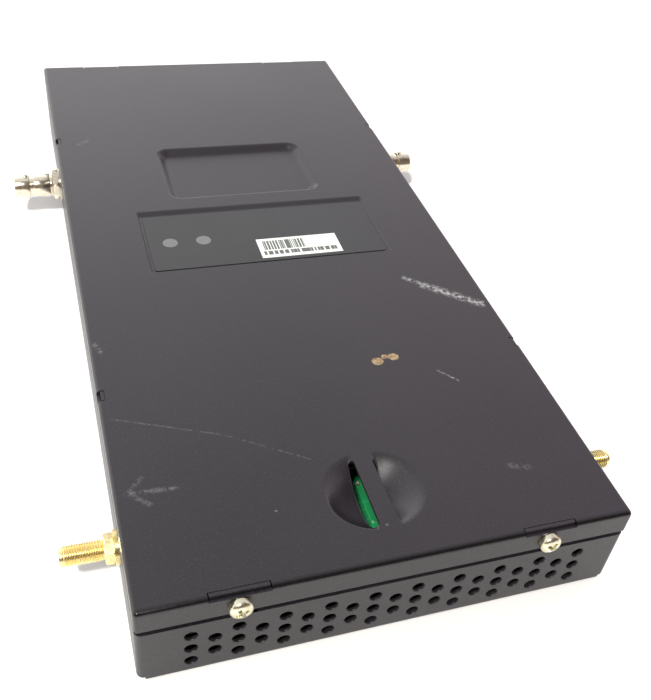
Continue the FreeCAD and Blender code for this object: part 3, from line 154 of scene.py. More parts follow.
class Look:
    """A procedural material, written as short steps in the piece's own coordinates."""

    def __init__(self, name, metallic=0.0, coat=0.0):
        self.material = bpy.data.materials.new(name)
        self.material.use_nodes = True
        self.tree = self.material.node_tree
        self.shader = self.tree.nodes["Principled BSDF"]
        self.shader.inputs["Metallic"].default_value = metallic
        self.shader.inputs["Coat Weight"].default_value = coat
        self.place = self.tree.nodes.new("ShaderNodeTexCoord").outputs["Object"]
        self.heights = []

    def node(self, kind, **settings):
        made = self.tree.nodes.new(kind)
        for key, value in settings.items():
            setattr(made, key, value)
        return made

    def feed(self, socket, value):
        if isinstance(value, bpy.types.NodeSocket):
            self.tree.links.new(value, socket)
        elif isinstance(value, (tuple, list)) and len(value) == 3 and socket.type == "RGBA":
            socket.default_value = (*value, 1)
        else:
            socket.default_value = value

    def noise(self, size, detail=2.0, roughness=0.5, where=None, stretch=(1, 1, 1)):
        """Even noise from 0 to 1 whose blobs are about size metres across."""
        mapping = self.node("ShaderNodeMapping")
        self.feed(mapping.inputs["Vector"], where or self.place)
        self.feed(mapping.inputs["Scale"], stretch)
        made = self.node("ShaderNodeTexNoise")
        self.feed(made.inputs["Vector"], mapping.outputs[0])
        self.feed(made.inputs["Scale"], 1 / size)
        self.feed(made.inputs["Detail"], detail)
        self.feed(made.inputs["Roughness"], roughness)
        return self.span(made.outputs[0], 0.3, 0.7, 0.0, 1.0)

    def span(self, value, low, high, out_low, out_high):
        made = self.node("ShaderNodeMapRange")
        for socket, amount in zip(made.inputs, (value, low, high, out_low, out_high)):
            self.feed(socket, amount)
        return made.outputs[0]

    def math(self, operation, first, second=0.0):
        made = self.node("ShaderNodeMath", operation=operation)
        self.feed(made.inputs[0], first)
        self.feed(made.inputs[1], second)
        return made.outputs[0]

    def axis(self, letter):
        made = self.node("ShaderNodeSeparateXYZ")
        self.feed(made.inputs[0], self.place)
        return made.outputs[letter]

    def mix(self, amount, first, second):
        made = self.node("ShaderNodeMix", data_type="RGBA")
        self.feed(made.inputs["Factor"], amount)
        self.feed(made.inputs[6], first)
        self.feed(made.inputs[7], second)
        return made.outputs[2]

    def box_mask(self, low, high, soft=0.0001):
        """1 inside a range of X and Y, 0 outside."""
        mask = 1.0
        for letter, start, end in zip("XY", low, high):
            value = self.axis(letter)
            rise = self.span(value, start - soft, start + soft, 0.0, 1.0)
            fall = self.span(value, end - soft, end + soft, 1.0, 0.0)
            mask = self.math("MULTIPLY", mask, self.math("MULTIPLY", rise, fall))
        return mask

    def stroke(self, start, end, width, soft=0.5):
        """1 on a line from start to end, fading to 0 at width from it."""
        delta = Vector(end) - Vector(start)
        offset = self.node("ShaderNodeVectorMath", operation="SUBTRACT")
        self.feed(offset.inputs[0], self.place)
        self.feed(offset.inputs[1], tuple(start))
        along = self.node("ShaderNodeVectorMath", operation="DOT_PRODUCT")
        self.feed(along.inputs[0], offset.outputs[0])
        self.feed(along.inputs[1], tuple(delta / delta.length_squared))
        share = self.span(along.outputs["Value"], 0.0, 1.0, 0.0, 1.0)
        nearest = self.node("ShaderNodeVectorMath", operation="SCALE")
        self.feed(nearest.inputs[0], tuple(delta))
        self.feed(nearest.inputs["Scale"], share)
        gap = self.node("ShaderNodeVectorMath", operation="DISTANCE")
        self.feed(gap.inputs[0], offset.outputs[0])
        self.feed(gap.inputs[1], nearest.outputs[0])
        return self.span(gap.outputs["Value"], width * soft, width, 1.0, 0.0)

    def colour(self, value):
        self.feed(self.shader.inputs["Base Color"], value)

    def roughness(self, value):
        self.feed(self.shader.inputs["Roughness"], value)

    def bump(self, height, depth):
        """Raises the surface by height, which runs from 0 to 1, times depth in metres."""
        made = self.node("ShaderNodeBump")
        made.inputs["Strength"].default_value = 1.0
        self.feed(made.inputs["Distance"], depth)
        self.feed(made.inputs["Height"], height)
        if self.heights:
            self.feed(made.inputs["Normal"], self.heights[-1])
        self.heights.append(made.outputs[0])
        self.feed(self.shader.inputs["Normal"], made.outputs[0])


# Each mark on the lid: where it starts and ends, how wide it is and how strongly it shows.
SCUFFS = [
    ((46.1, -36.8), (54, -44), 1.6, 0.55),
    ((52, -42.5), (69.7, -56.9), 2.6, 0.75),
    ((38.7, -89.0), (44.0, -95.2), 0.5, 0.5),
    ((-70.1, -120.7), (-56.2, -121.2), 1.2, 0.16),
    ((-70.1, -120.7), (-64.5, -125.6), 1.1, 0.14),
    ((-70.1, -120.7), (-65.5, -115.5), 1.1, 0.14),
    ((-64.5, 80.2), (-60.5, 83.0), 1.3, 0.14),
    ((-72.0, -54.5), (-70.5, -59.2), 1.2, 0.22),
    ((44.6, -134.3), (50.0, -136.2), 1.5, 0.12),
    ((-71.7, -90.0), (-38.9, -103.6), 0.4, 0.12),
    ((-38.9, -103.6), (-15.3, -118.9), 0.35, 0.12),
    ((-30.9, -135.7), (-30.5, -135.7), 0.5, 0.5),
    ((-1.2, -147.4), (-0.8, -147.4), 0.5, 0.4),
]
# Tan chips in the paint, by centre and radius.
CHIPS = [((19.4, -80.6), 2.6), ((25.6, -79.4), 2.4), ((22.6, -78.8), 1.5)]


def on_lid(across, along):
    return Vector((across * MM, along * MM, TOP))


def powder_coat(name, worn_and_fold_shaded):
    look = Look(name)
    cloud = look.noise(0.07, detail=4)
    grain = look.noise(0.0011, detail=2)
    speck = look.span(look.noise(0.0006, detail=1), 0.78, 0.95, 0.0, 1.0)
    colour = look.mix(cloud, (0.0122, 0.0102, 0.0142), (0.0168, 0.0143, 0.0190))
    colour = look.mix(look.math("MULTIPLY", speck, 0.25), colour, (0.06, 0.06, 0.06))
    roughness = look.span(cloud, 0.0, 1.0, 0.30, 0.36)
    roughness = look.math("ADD", roughness, look.math("MULTIPLY", grain, 0.05))
    if worn_and_fold_shaded:
        # Painted shade: a near-black band is painted into the colour along the front and rear top folds.
        # It stands in for the dark room that the bend reflects. The scuffs and chips below are real wear.
        height = look.span(look.axis("Z"), TOP - 0.0012, TOP - 0.0006, 0.0, 1.0)
        for edge, side in ((FRONT, 1), (REAR, -1)):
            inset = look.math("MULTIPLY", look.math("SUBTRACT", look.axis("Y"), edge), side)
            fold_painted_shade = look.span(inset, 0.0014, 0.0020, 1.0, 0.0)
            fold_painted_shade = look.math("MULTIPLY", look.math("MULTIPLY", fold_painted_shade, height), 0.85)
            colour = look.mix(fold_painted_shade, colour, (0.003, 0.0028, 0.0035))
            roughness = look.math("SUBTRACT", roughness, look.math("MULTIPLY", fold_painted_shade, 0.14))
        broken = look.span(look.noise(0.0013, detail=4, roughness=0.7), 0.35, 0.75, 0.0, 1.0)
        total = 0.0
        for start, end, width, strength in SCUFFS:
            mark = look.stroke(on_lid(*start), on_lid(*end), width * MM, soft=0.2)
            total = look.math("MAXIMUM", total, look.math("MULTIPLY", mark, strength))
        total = look.math("MULTIPLY", total, broken)
        colour = look.mix(total, colour, (0.5, 0.5, 0.5))
        roughness = look.math("ADD", roughness, look.math("MULTIPLY", total, 0.3))
        chipped = 0.0
        ragged = look.noise(0.002, detail=3, roughness=0.6)
        for centre, radius in CHIPS:
            spot = look.stroke(on_lid(*centre), on_lid(centre[0] + 0.5, centre[1]), radius * MM, soft=0.3)
            chipped = look.math("MAXIMUM", chipped, spot)
        chipped = look.math("MULTIPLY", chipped, look.span(ragged, 0.0, 0.5, 0.3, 1.0))
        chipped = look.span(chipped, 0.35, 0.5, 0.0, 1.0)
        tan = look.mix(look.noise(0.0012, detail=3), (0.16, 0.10, 0.045), (0.42, 0.31, 0.16))
        colour = look.mix(chipped, colour, tan)
        look.bump(chipped, -0.00008)
    look.colour(colour)
    look.roughness(roughness)
    look.bump(grain, 0.000012)
    return look.material


def metal(name, pale, dark, rough, tarnish_size=0.002):
    """Plated or bare metal, tarnished in patches."""
    look = Look(name, metallic=1.0)
    tarnish = look.noise(tarnish_size, detail=4, roughness=0.65)
    fine = look.noise(0.0003, detail=2)
    look.colour(look.mix(tarnish, pale, dark))
    patches = look.span(tarnish, 0.0, 1.0, *rough)
    look.roughness(look.math("ADD", patches, look.math("MULTIPLY", fine, 0.05)))
    look.bump(fine, 0.000003)
    return look.material


def plastic(name, pale, dark, rough, grain=0.0004, depth=0.000004):
    look = Look(name)
    cloud = look.noise(0.006, detail=4)
    fine = look.noise(grain, detail=2)
    look.colour(look.mix(cloud, pale, dark))
    look.roughness(look.span(fine, 0.0, 1.0, *rough))
    look.bump(fine, depth)
    return look.material


def overlay_film():
    look = Look("overlay_film")
    cloud = look.noise(0.03, detail=3)
    weave = look.noise(0.00045, detail=2)
    colour = look.mix(cloud, (0.0150, 0.0158, 0.0174), (0.0195, 0.0204, 0.0224))
    colour = look.mix(look.math("MULTIPLY", weave, 0.35), colour, (0.030, 0.032, 0.035))
    look.colour(colour)
    look.roughness(look.span(weave, 0.0, 1.0, 0.34, 0.5))
    look.bump(weave, 0.000012)
    return look.material


def sticker_paper():
    """White paper with a block of plain bars and a row of short dashes under it."""
    low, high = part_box("serial_sticker")
    look = Look("sticker_paper")
    across = look.node("ShaderNodeCombineXYZ")
    look.feed(across.inputs[0], look.axis("X"))
    width = high.x - low.x
    height = high.y - low.y
    bars = look.noise(0.0006, detail=0, where=across.outputs[0])
    bars = look.span(bars, 0.36, 0.42, 0.0, 1.0)
    bar_low = (low.x + 0.06 * width, low.y + 0.40 * height)
    bar_high = (low.x + 0.57 * width, high.y - 0.12 * height)
    bars = look.math("MULTIPLY", bars, look.box_mask(bar_low, bar_high, 0.00006))
    dashes = look.noise(0.0011, detail=0, where=across.outputs[0])
    dashes = look.span(dashes, 0.3, 0.36, 0.0, 1.0)
    dash_low = (low.x + 0.04 * width, low.y + 0.14 * height)
    dash_high = (high.x - 0.05 * width, low.y + 0.34 * height)
    dashes = look.math("MULTIPLY", dashes, look.box_mask(dash_low, dash_high, 0.00006))
    ink = look.math("MAXIMUM", bars, dashes)
    fibre = look.noise(0.0005, detail=3)
    paper = look.mix(fibre, (0.72, 0.79, 0.74), (0.80, 0.86, 0.81))
    look.colour(look.mix(look.math("MULTIPLY", ink, 0.9), paper, (0.03, 0.03, 0.03)))
    look.roughness(look.span(fibre, 0.0, 1.0, 0.35, 0.5))
    look.bump(fibre, 0.000006)
    return look.material


def board_mask(name, shade):
    """Green solder mask over straight copper tracks, with tinned pads."""
    look = Look(name, coat=0.4)
    look.shader.inputs["Coat Roughness"].default_value = 0.12
    tracks = 0.0
    for size, squash, turn in ((0.011, 0.25, 0.0), (0.016, 0.3, TURN / 4), (0.007, 0.5, TURN / 4)):
        mapping = look.node("ShaderNodeMapping")
        look.feed(mapping.inputs["Vector"], look.place)
        look.feed(mapping.inputs["Rotation"], (0, 0, turn))
        look.feed(mapping.inputs["Scale"], (1, 1, 0.0))
        bricks = look.node("ShaderNodeTexBrick", offset=0.37, squash=1.0)
        look.feed(bricks.inputs["Vector"], mapping.outputs[0])
        look.feed(bricks.inputs["Scale"], 1.0)
        look.feed(bricks.inputs["Brick Width"], size)
        look.feed(bricks.inputs["Row Height"], size * squash)
        look.feed(bricks.inputs["Mortar Size"], 0.00018)
        look.feed(bricks.inputs["Mortar Smooth"], 0.1)
        zone = look.span(look.noise(size * 2.2, detail=1), 0.45, 0.5, 0.0, 1.0)
        tracks = look.math("MAXIMUM", tracks, look.math("MULTIPLY", bricks.outputs["Fac"], zone))
    vias = look.node("ShaderNodeTexVoronoi")
    look.feed(vias.inputs["Vector"], look.place)
    look.feed(vias.inputs["Scale"], 1 / 0.0042)
    dots = look.span(vias.outputs["Distance"], 0.07, 0.1, 1.0, 0.0)
    dots = look.math("MULTIPLY", dots, look.span(look.noise(0.03, detail=1), 0.5, 0.52, 0.0, 1.0))
    cloud = look.noise(0.02, detail=3)
    green = look.mix(cloud, shade, [1.3 * part for part in shade])
    colour = look.mix(look.math("MULTIPLY", tracks, 0.75), green, [2.0 * part for part in shade])
    colour = look.mix(dots, colour, (0.45, 0.43, 0.36))
    look.colour(colour)
    look.roughness(look.span(cloud, 0.0, 1.0, 0.28, 0.4))
    look.bump(look.math("MAXIMUM", tracks, dots), 0.00003)
    return look.material


def lens(name, tint):
    """Milky plastic that lets light a little way in."""
    look = Look(name)
    cloud = look.noise(0.0009, detail=3)
    look.colour(look.mix(cloud, tint, tuple(0.82 * part for part in tint)))
    look.roughness(look.span(cloud, 0.0, 1.0, 0.28, 0.42))
    look.shader.inputs["Subsurface Weight"].default_value = 0.25
    look.shader.inputs["Subsurface Radius"].default_value = (0.001, 0.001, 0.001)
    look.bump(cloud, 0.000006)
    return look.material


def make_materials():
    made = {
        "powder_coat": powder_coat("powder_coat", worn_and_fold_shaded=False),
        "worn_shaded_powder_coat": powder_coat("worn_shaded_powder_coat", worn_and_fold_shaded=True),
        "overlay_film": overlay_film(),
        "window_film": lens("window_film", (0.165, 0.170, 0.175)),
        "sticker_paper": sticker_paper(),
        "screw_nickel": metal("screw_nickel", (0.84, 0.82, 0.66), (0.62, 0.58, 0.40), (0.18, 0.30)),
        "bnc_nickel": metal("bnc_nickel", (0.95, 0.92, 0.80), (0.80, 0.72, 0.55), (0.12, 0.26)),
        "gold_plate": metal("gold_plate", (1.0, 0.89, 0.50), (0.96, 0.76, 0.34), (0.16, 0.30)),
        "ptfe": plastic("ptfe", (0.78, 0.76, 0.72), (0.70, 0.68, 0.63), (0.4, 0.55)),
        "board_mask": board_mask("board_mask", (0.016, 0.225, 0.075)),
        "chip_epoxy": plastic("chip_epoxy", (0.012, 0.012, 0.013), (0.02, 0.02, 0.021), (0.5, 0.65)),
        "spreader_metal": metal("spreader_metal", (0.62, 0.63, 0.64), (0.50, 0.51, 0.53), (0.3, 0.42)),
        "gap_pad": plastic("gap_pad", (0.30, 0.36, 0.45), (0.24, 0.29, 0.38), (0.7, 0.85), depth=0.00002),
        "jack_plastic": plastic("jack_plastic", (0.012, 0.012, 0.012), (0.018, 0.018, 0.018), (0.4, 0.5)),
        "tin_plate": metal("tin_plate", (0.72, 0.71, 0.68), (0.60, 0.59, 0.56), (0.28, 0.42), 0.008),
        "standoff_steel": metal("standoff_steel", (0.64, 0.62, 0.58), (0.5, 0.47, 0.42), (0.3, 0.42)),
        "socket_plastic": plastic("socket_plastic", (0.50, 0.46, 0.36), (0.44, 0.40, 0.31), (0.45, 0.6)),
        "can_sleeve": plastic("can_sleeve", (0.012, 0.014, 0.03), (0.018, 0.02, 0.04), (0.25, 0.35)),
        "winding_tape": plastic("winding_tape", (0.55, 0.40, 0.05), (0.48, 0.33, 0.04), (0.3, 0.45)),
        "ferrite": plastic(
            "ferrite", (0.025, 0.024, 0.023), (0.04, 0.038, 0.036), (0.6, 0.8), 0.0006, 0.00002
        ),
        "light_pipe": lens("light_pipe", (0.75, 0.76, 0.76)),
        "film_insulation": lens("film_insulation", (0.16, 0.16, 0.15)),
        "lead_jacket": plastic("lead_jacket", (0.10, 0.04, 0.02), (0.07, 0.03, 0.016), (0.3, 0.4)),
    }
    return made


def paint_frame(materials):
    """Every CAD node takes the material of its own slot."""
    for name, node in NODES.items():
        for place in node.material_slots:
            place.material = materials[place.material.name.split(".")[0]]


# ---------------------------------------------------------------- meshes


def add_piece(name, shape, material, body, stands_for=(), sharp=35):
    """Turns a bmesh into a smooth piece with crisp edges that rides on a body."""
    bmesh.ops.remove_doubles(shape, verts=shape.verts, dist=1e-7)
    bmesh.ops.recalc_face_normals(shape, faces=shape.faces)
    mesh = bpy.data.meshes.new(name)
    shape.to_mesh(mesh)
    shape.free()
    mesh.shade_smooth()
    mesh.set_sharp_from_angle(angle=math.radians(sharp))
    mesh.materials.append(material)
    piece = bpy.data.objects.new(name, mesh)
    bpy.context.scene.collection.objects.link(piece)
    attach(piece, body)
    if stands_for:
        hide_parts(*stands_for)
    return piece


def add_box(shape, low, high):
    """A closed box, with its corners in millimetres."""
    corners = [
        shape.verts.new(Vector((x, y, z)) * MM)
        for x in (low[0], high[0])
        for y in (low[1], high[1])
        for z in (low[2], high[2])
    ]
    for face in ((0, 1, 3, 2), (4, 6, 7, 5), (0, 4, 5, 1), (2, 3, 7, 6), (0, 2, 6, 4), (1, 5, 7, 3)):
        shape.faces.new([corners[index] for index in face])


def add_lathe(shape, rows, place, segments=64, ring=True):
    """A turned shape from rows of (along, radius) in millimetres; ring joins the last row to the first.

    A radius may be a function of along and the angle, and place puts a point in the frame."""
    rings = []
    for along, radius in rows:
        reaches = [
            radius(along, TURN * step / segments) if callable(radius) else radius
            for step in range(segments)
        ]
        rings.append(
            [
                shape.verts.new(place(along, reach, TURN * step / segments) * MM)
                for step, reach in enumerate(reaches)
            ]
        )
    pairs = list(zip(rings, rings[1:]))
    if ring:
        pairs.append((rings[-1], rings[0]))
    for first, second in pairs:
        for step in range(segments):
            ahead = (step + 1) % segments
            shape.faces.new((first[step], first[ahead], second[ahead], second[step]))


def thread_rows(start, end, radius, depth, pitch):
    """Rows of a rounded screw thread, which runs out at both ends."""

    def reach(along, angle):
        phase = along / pitch - angle / TURN
        fade = ease((along - start) / pitch) * ease((end - along) / pitch)
        return radius - depth * (1 - fade * (0.5 + 0.5 * math.cos(TURN * phase)) ** 0.8)

    count = max(2, round(abs(end - start) / pitch * 9))
    return [(start + (end - start) * step / count, reach) for step in range(count + 1)]


def ease(value):
    """A smooth step from 0 to 1."""
    value = min(max(value, 0.0), 1.0)
    return value * value * (3 - 2 * value)


def cut(piece, cutter, operation="DIFFERENCE"):
    """Takes cutter away from piece, or joins it on, and applies the result."""
    modifier = piece.modifiers.new("cut", "BOOLEAN")
    modifier.operation = operation
    modifier.solver = "EXACT"
    modifier.object = cutter
    bpy.context.view_layer.update()
    made = bpy.data.meshes.new_from_object(piece.evaluated_get(bpy.context.evaluated_depsgraph_get()))
    piece.modifiers.remove(modifier)
    piece.data = made
    bpy.data.objects.remove(cutter)


def loose_object(name, shape):
    mesh = bpy.data.meshes.new(name)
    bmesh.ops.recalc_face_normals(shape, faces=shape.faces)
    shape.to_mesh(mesh)
    shape.free()
    made = bpy.data.objects.new(name, mesh)
    bpy.context.scene.collection.objects.link(made)
    return made


# ---------------------------------------------------------------- cover

GAUGE = 1.0
LID = 33.0
RECESS = {"low": (-33.0, 30.5), "high": (33.0, 72.5), "corner": 6.0, "wall": 4.6, "depth": 2.4}
LABEL_EDGES = {"low": (-47.8, -18.2), "high": (47.8, 23.2), "depth": 0.8}
LABEL_WALLS = {"side": 0.9, "front": 0.7, "rear": 3.6}
PANEL = {"low": (-51.0, -21.0), "high": (51.0, 78.0)}
DISH = {"centre": -134.0, "half": (15.6, 14.8), "depth": 5.8, "power": 2.15}
DISH_BULGE = (4.2, 2.1)
DISH_FILLET = (0.22, 1.2)
DISH_PANEL = {"low": (-18.0, -151.0), "high": (18.0, -117.0)}
BAR = (-3.1, 3.0)
BAR_BEND = 1.4
SLOTS = [(-4.6, -2.8, -147.0, -122.0), (2.9, 3.9, -141.0, -123.0)]
FINE = 0.3
COARSE = 2.4


def recess_drop(x, y):
    """How far the lid is pressed down at a point of the recess, in millimetres."""
    half = [(high - low) / 2 for low, high in zip(RECESS["low"], RECESS["high"])]
    centre = [(high + low) / 2 for low, high in zip(RECESS["low"], RECESS["high"])]
    past_x = abs(x - centre[0]) - half[0] + RECESS["corner"]
    past_y = abs(y - centre[1]) - half[1] + RECESS["corner"]
    outside = math.hypot(max(past_x, 0), max(past_y, 0)) + min(max(past_x, past_y), 0) - RECESS["corner"]
    return RECESS["depth"] * ease(-outside / RECESS["wall"])


def label_drop(x, y):
    side = min(x - LABEL_EDGES["low"][0], LABEL_EDGES["high"][0] - x)
    front = y - LABEL_EDGES["low"][1]
    rear = LABEL_EDGES["high"][1] - y
    walls = LABEL_WALLS
    share = ease(side / walls["side"]) * ease(front / walls["front"]) * ease(rear / walls["rear"])
    return LABEL_EDGES["depth"] * share


def dish_drop(x, y):
    """The bowl under the level bar of the tie bridge, steep at the left front and soft elsewhere."""
    power = DISH["power"]
    across = (abs(x) / DISH["half"][0]) ** power
    along = (abs(y - DISH["centre"]) / DISH["half"][1]) ** power
    reach = (across + along) ** (1 / power)
    steep_along = 1 - ease((y - DISH["centre"]) / DISH["half"][1] + 0.5)
    soft = 1 - steep_along * (1 - ease(x / DISH["half"][0] + 0.5))
    bulge, fillet = (
        steep + (rounded - steep) * soft for steep, rounded in (DISH_BULGE, DISH_FILLET)
    )
    share = max(0.0, 1 - reach**bulge)
    share *= share * (1 + fillet) / (share + fillet)
    beside_bar = max(BAR[0] - x, x - BAR[1]) / BAR_BEND
    return DISH["depth"] * share * ease(beside_bar)


def steps(low, high, size):
    count = max(1, round((high - low) / size))
    return [low + (high - low) * step / count for step in range(count + 1)]


def grid_lines(low, high, busy):
    """Grid lines from low to high, closer together in the busy stretches."""
    edges = [low, *(edge for stretch in busy for edge in stretch), high]
    lines = [low]
    for index, (start, end) in enumerate(zip(edges, edges[1:])):
        lines += steps(start, end, FINE if index % 2 else COARSE)[1:]
    return lines


def add_sheet(shape, across, along, drop):
    """A closed slab of sheet metal over a grid, pressed down by drop(x, y)."""
    layers = []
    for level in (LID, LID - GAUGE):
        layers.append(
            [[shape.verts.new(Vector((x, y, level - drop(x, y))) * MM) for y in along] for x in across]
        )
    upper, lower = layers
    for i in range(len(across) - 1):
        for j in range(len(along) - 1):
            shape.faces.new((upper[i][j], upper[i + 1][j], upper[i + 1][j + 1], upper[i][j + 1]))
            shape.faces.new((lower[i][j], lower[i][j + 1], lower[i + 1][j + 1], lower[i + 1][j]))
    rim = [(i, 0) for i in range(len(across))]
    rim += [(len(across) - 1, j) for j in range(1, len(along))]
    rim += [(i, len(along) - 1) for i in range(len(across) - 2, -1, -1)]
    rim += [(0, j) for j in range(len(along) - 2, 0, -1)]
    for (i, j), (m, n) in zip(rim, rim[1:] + rim[:1]):
        shape.faces.new((upper[i][j], lower[i][j], lower[m][n], upper[m][n]))


def level_normals(mesh):
    """Level faces shade dead flat, and every bend starts out level with the face that it leaves."""
    level = {}
    for face in mesh.polygons:
        if max(abs(part) for part in face.normal) > 0.9999:
            axis = Vector([round(part) for part in face.normal])
            for index in face.vertices:
                level.setdefault(index, []).append(axis)
    normals = [corner.vector.copy() for corner in mesh.corner_normals]
    for face in mesh.polygons:
        for corner in face.loop_indices:
            for axis in level.get(mesh.loops[corner].vertex_index, ()):
                if face.normal.dot(axis) > 0.86:
                    normals[corner] = axis
    mesh.normals_split_custom_set(normals)


def box_object(name, low, high):
    shape = bmesh.new()
    add_box(shape, low, high)
    return loose_object(name, shape)


def prism_object(name, outline, low, high):
    """A closed upright prism over an outline of (x, y) points, in millimetres."""
    shape = bmesh.new()
    rings = [[shape.verts.new(Vector((x, y, level)) * MM) for x, y in outline] for level in (low, high)]
    for ring in rings:
        shape.faces.new(ring)
    for index in range(len(outline)):
        ahead = (index + 1) % len(outline)
        shape.faces.new((rings[0][index], rings[0][ahead], rings[1][ahead], rings[1][index]))
    return loose_object(name, shape)


def slot_outline(left, right, front, rear, count=12):
    """A straight slot along Y with round ends."""
    radius = (right - left) / 2
    middle = (right + left) / 2
    points = []
    for end, base in ((rear - radius, 0.0), (front + radius, TURN / 2)):
        for step in range(count + 1):
            angle = base + TURN / 2 * step / count
            points.append((middle + radius * math.cos(angle), end + radius * math.sin(angle)))
    return points


def light_outline(middle, centre, radius=2.8, count=48):
    return [
        (middle + radius * math.cos(TURN * step / count), centre + radius * math.sin(TURN * step / count))
        for step in range(count)
    ]


def build_panel():
    """The lid round the recess and the label, with holes for the two lights."""
    shape = bmesh.new()
    side = RECESS["high"][0]
    bend = RECESS["corner"] + 1
    busy_across = [(-48.2, -46.4), (-side - 0.4, bend - side), (side - bend, side + 0.4), (46.4, 48.2)]
    busy_along = [(-18.6, -17.1), (19.3, 23.5), (30.1, 30.5 + bend), (72.5 - bend, 72.9)]
    across = grid_lines(PANEL["low"][0], PANEL["high"][0], busy_across)
    along = grid_lines(PANEL["low"][1], PANEL["high"][1], busy_along)
    add_sheet(shape, across, along, lambda x, y: recess_drop(x, y) + label_drop(x, y))
    panel = loose_object("cover_panel", shape)
    low, high = (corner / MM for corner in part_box("light_windows"))
    for middle in (low.x + 2.8, high.x - 2.8):
        cut(panel, prism_object("light_cutter", light_outline(middle, (low.y + high.y) / 2), 20, 40))
    return panel


def build_dish():
    """The bowl with its bridge bar, slotted on both sides of the bar."""
    shape = bmesh.new()
    across = steps(DISH_PANEL["low"][0], DISH_PANEL["high"][0], 0.35)
    along = steps(DISH_PANEL["low"][1], DISH_PANEL["high"][1], 0.35)
    add_sheet(shape, across, along, dish_drop)
    dish = loose_object("cover_dish", shape)
    for slot in SLOTS:
        cut(dish, prism_object("slot_cutter", slot_outline(*slot), 20, 40))
    return dish


def build_cover():
    """The cover: the CAD sheet with its pressed areas made again as soft pressings."""
    shape = bmesh.new()
    shape.from_mesh(NODES["cover"].data)
    bmesh.ops.remove_doubles(shape, verts=shape.verts, dist=1e-7)
    cover = loose_object("cover_sheet", shape)
    for panel in (PANEL, DISH_PANEL):
        cut(cover, box_object("panel_cutter", (*panel["low"], 20), (*panel["high"], 40)))
    for pressing in (build_panel(), build_dish()):
        cut(cover, pressing, "UNION")
    mesh = cover.data
    mesh.shade_smooth()
    mesh.set_sharp_from_angle(angle=math.radians(32))
    level_normals(mesh)
    mesh.materials.clear()
    mesh.materials.append(materials["worn_shaded_powder_coat"])
    mesh.polygons.foreach_set("material_index", [0] * len(mesh.polygons))
    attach(cover, "cover")
    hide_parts("cover")


# ---------------------------------------------------------------- jacks and screws

JACK_LEVEL = 15.5
SMA_OFFSET = -125.0
BNC_OFFSET = 77.4
SCREW_SIDE = 46.2
SCREW_LEVEL = 28.0
SCREW_SEAT = 160.05


def jack_place(side, offset):
    """Puts a point at a distance out from a side wall, a reach from the jack's axis and an angle."""
    wall = WALL / MM

    def place(along, reach, angle):
        return Vector(
            (side * (wall + along), offset + reach * math.cos(angle), JACK_LEVEL + reach * math.sin(angle))
        )

    return place


def build_sma_shell(word, side):
    shape = bmesh.new()
    rows = [(-12, 0.9), (-12, 2.0), (-11.9, 2.1), (-8.6, 2.1), (-8.5, 2.2), (-8.5, 2.95), (-8.4, 3.05)]
    rows += [(-4, 3.05), (-4, 4.5), (-3.9, 4.6), (-1.12, 4.6), (-1.02, 4.5), (-1.02, 3.09), (4.0, 3.09)]
    rows += thread_rows(4.1, 15.9, 3.175, 0.36, 0.7056)
    rows += [(16.45, 2.78), (16.6, 2.66), (16.6, 2.4), (16.5, 2.3), (10, 2.3), (10, 2.1), (-8.4, 2.1)]
    rows += [(-8.4, 0.9)]
    add_lathe(shape, rows, jack_place(side, SMA_OFFSET), segments=56)
    name = word + "_sma_shell"
    add_piece(name + "_threaded", shape, materials["gold_plate"], "case", (name,))


def build_bnc_shell(word, side):
    shape = bmesh.new()
    rows = [(-13, 1.2), (-13, 2.9), (-12.9, 3), (-9, 3), (-9, 4.3), (-8.9, 4.4), (-4.2, 4.4), (-4.2, 6.2)]
    rows += [(-4.1, 6.3), (-1.12, 6.3), (-1.02, 6.2), (-1.02, 4.3), (0.9, 4.3)]
    rows += thread_rows(1.0, 4.2, 4.7, 0.4, 0.794)
    rows += [(4.35, 4.75), (4.5, 4.85), (10.8, 4.85), (11.0, 4.8), (11.15, 4.4), (11.35, 4.15)]
    rows += [(13.0, 4.15), (13.2, 4.4), (13.35, 4.8), (13.55, 4.85), (19.05, 4.85), (19.25, 4.78)]
    rows += [(19.4, 4.6), (19.4, 4.2), (19.3, 4.1), (9.1, 4.1), (9, 4.0), (9, 2.5), (-9, 2.5), (-9, 1.2)]
    add_lathe(shape, rows, jack_place(side, BNC_OFFSET), segments=64)
    wall = WALL / MM
    for up in (1, -1):

        def place(along, reach, angle):
            return Vector(
                (
                    side * (wall + 14.5) + reach * math.cos(angle),
                    BNC_OFFSET + reach * math.sin(angle),
                    JACK_LEVEL + up * along,
                )
            )

        peg = [(4.3, 0), (4.3, 1.0), (5.65, 1.0), (5.82, 0.93), (5.9, 0.78), (5.9, 0)]
        add_lathe(shape, peg, place, segments=24, ring=False)
    name = word + "_bnc_shell"
    add_piece(name + "_turned", shape, materials["bnc_nickel"], "case", (name,))


def build_nuts(node, offset, out, flats, bore, gauge, material):
    """A chamfered hexagon nut on each side wall."""
    shape = bmesh.new()
    corner = flats / math.sqrt(3)

    def outline(along, angle):
        turn = (angle + TURN / 12) % (TURN / 6) - TURN / 12
        flat = flats / 2 / math.cos(turn)
        edge = min(along - out, out + gauge - along)
        return min(flat, flats / 2 + (corner - flats / 2) * min(1.0, 0.25 + edge / 0.45))

    for side in (1, -1):
        rows = [(out, bore / 2 + 0.15), (out, outline)]
        rows += [(out + share * gauge, outline) for share in (0.06, 0.12, 0.18, 0.82, 0.88, 0.94)]
        rows += [(out + gauge, outline), (out + gauge, bore / 2 + 0.15), (out + gauge - 0.15, bore / 2)]
        rows += [(out + 0.15, bore / 2)]
        add_lathe(shape, rows, jack_place(side, offset), segments=96)
    add_piece(node + "_chamfered", shape, materials[material], "case", (node,), sharp=20)


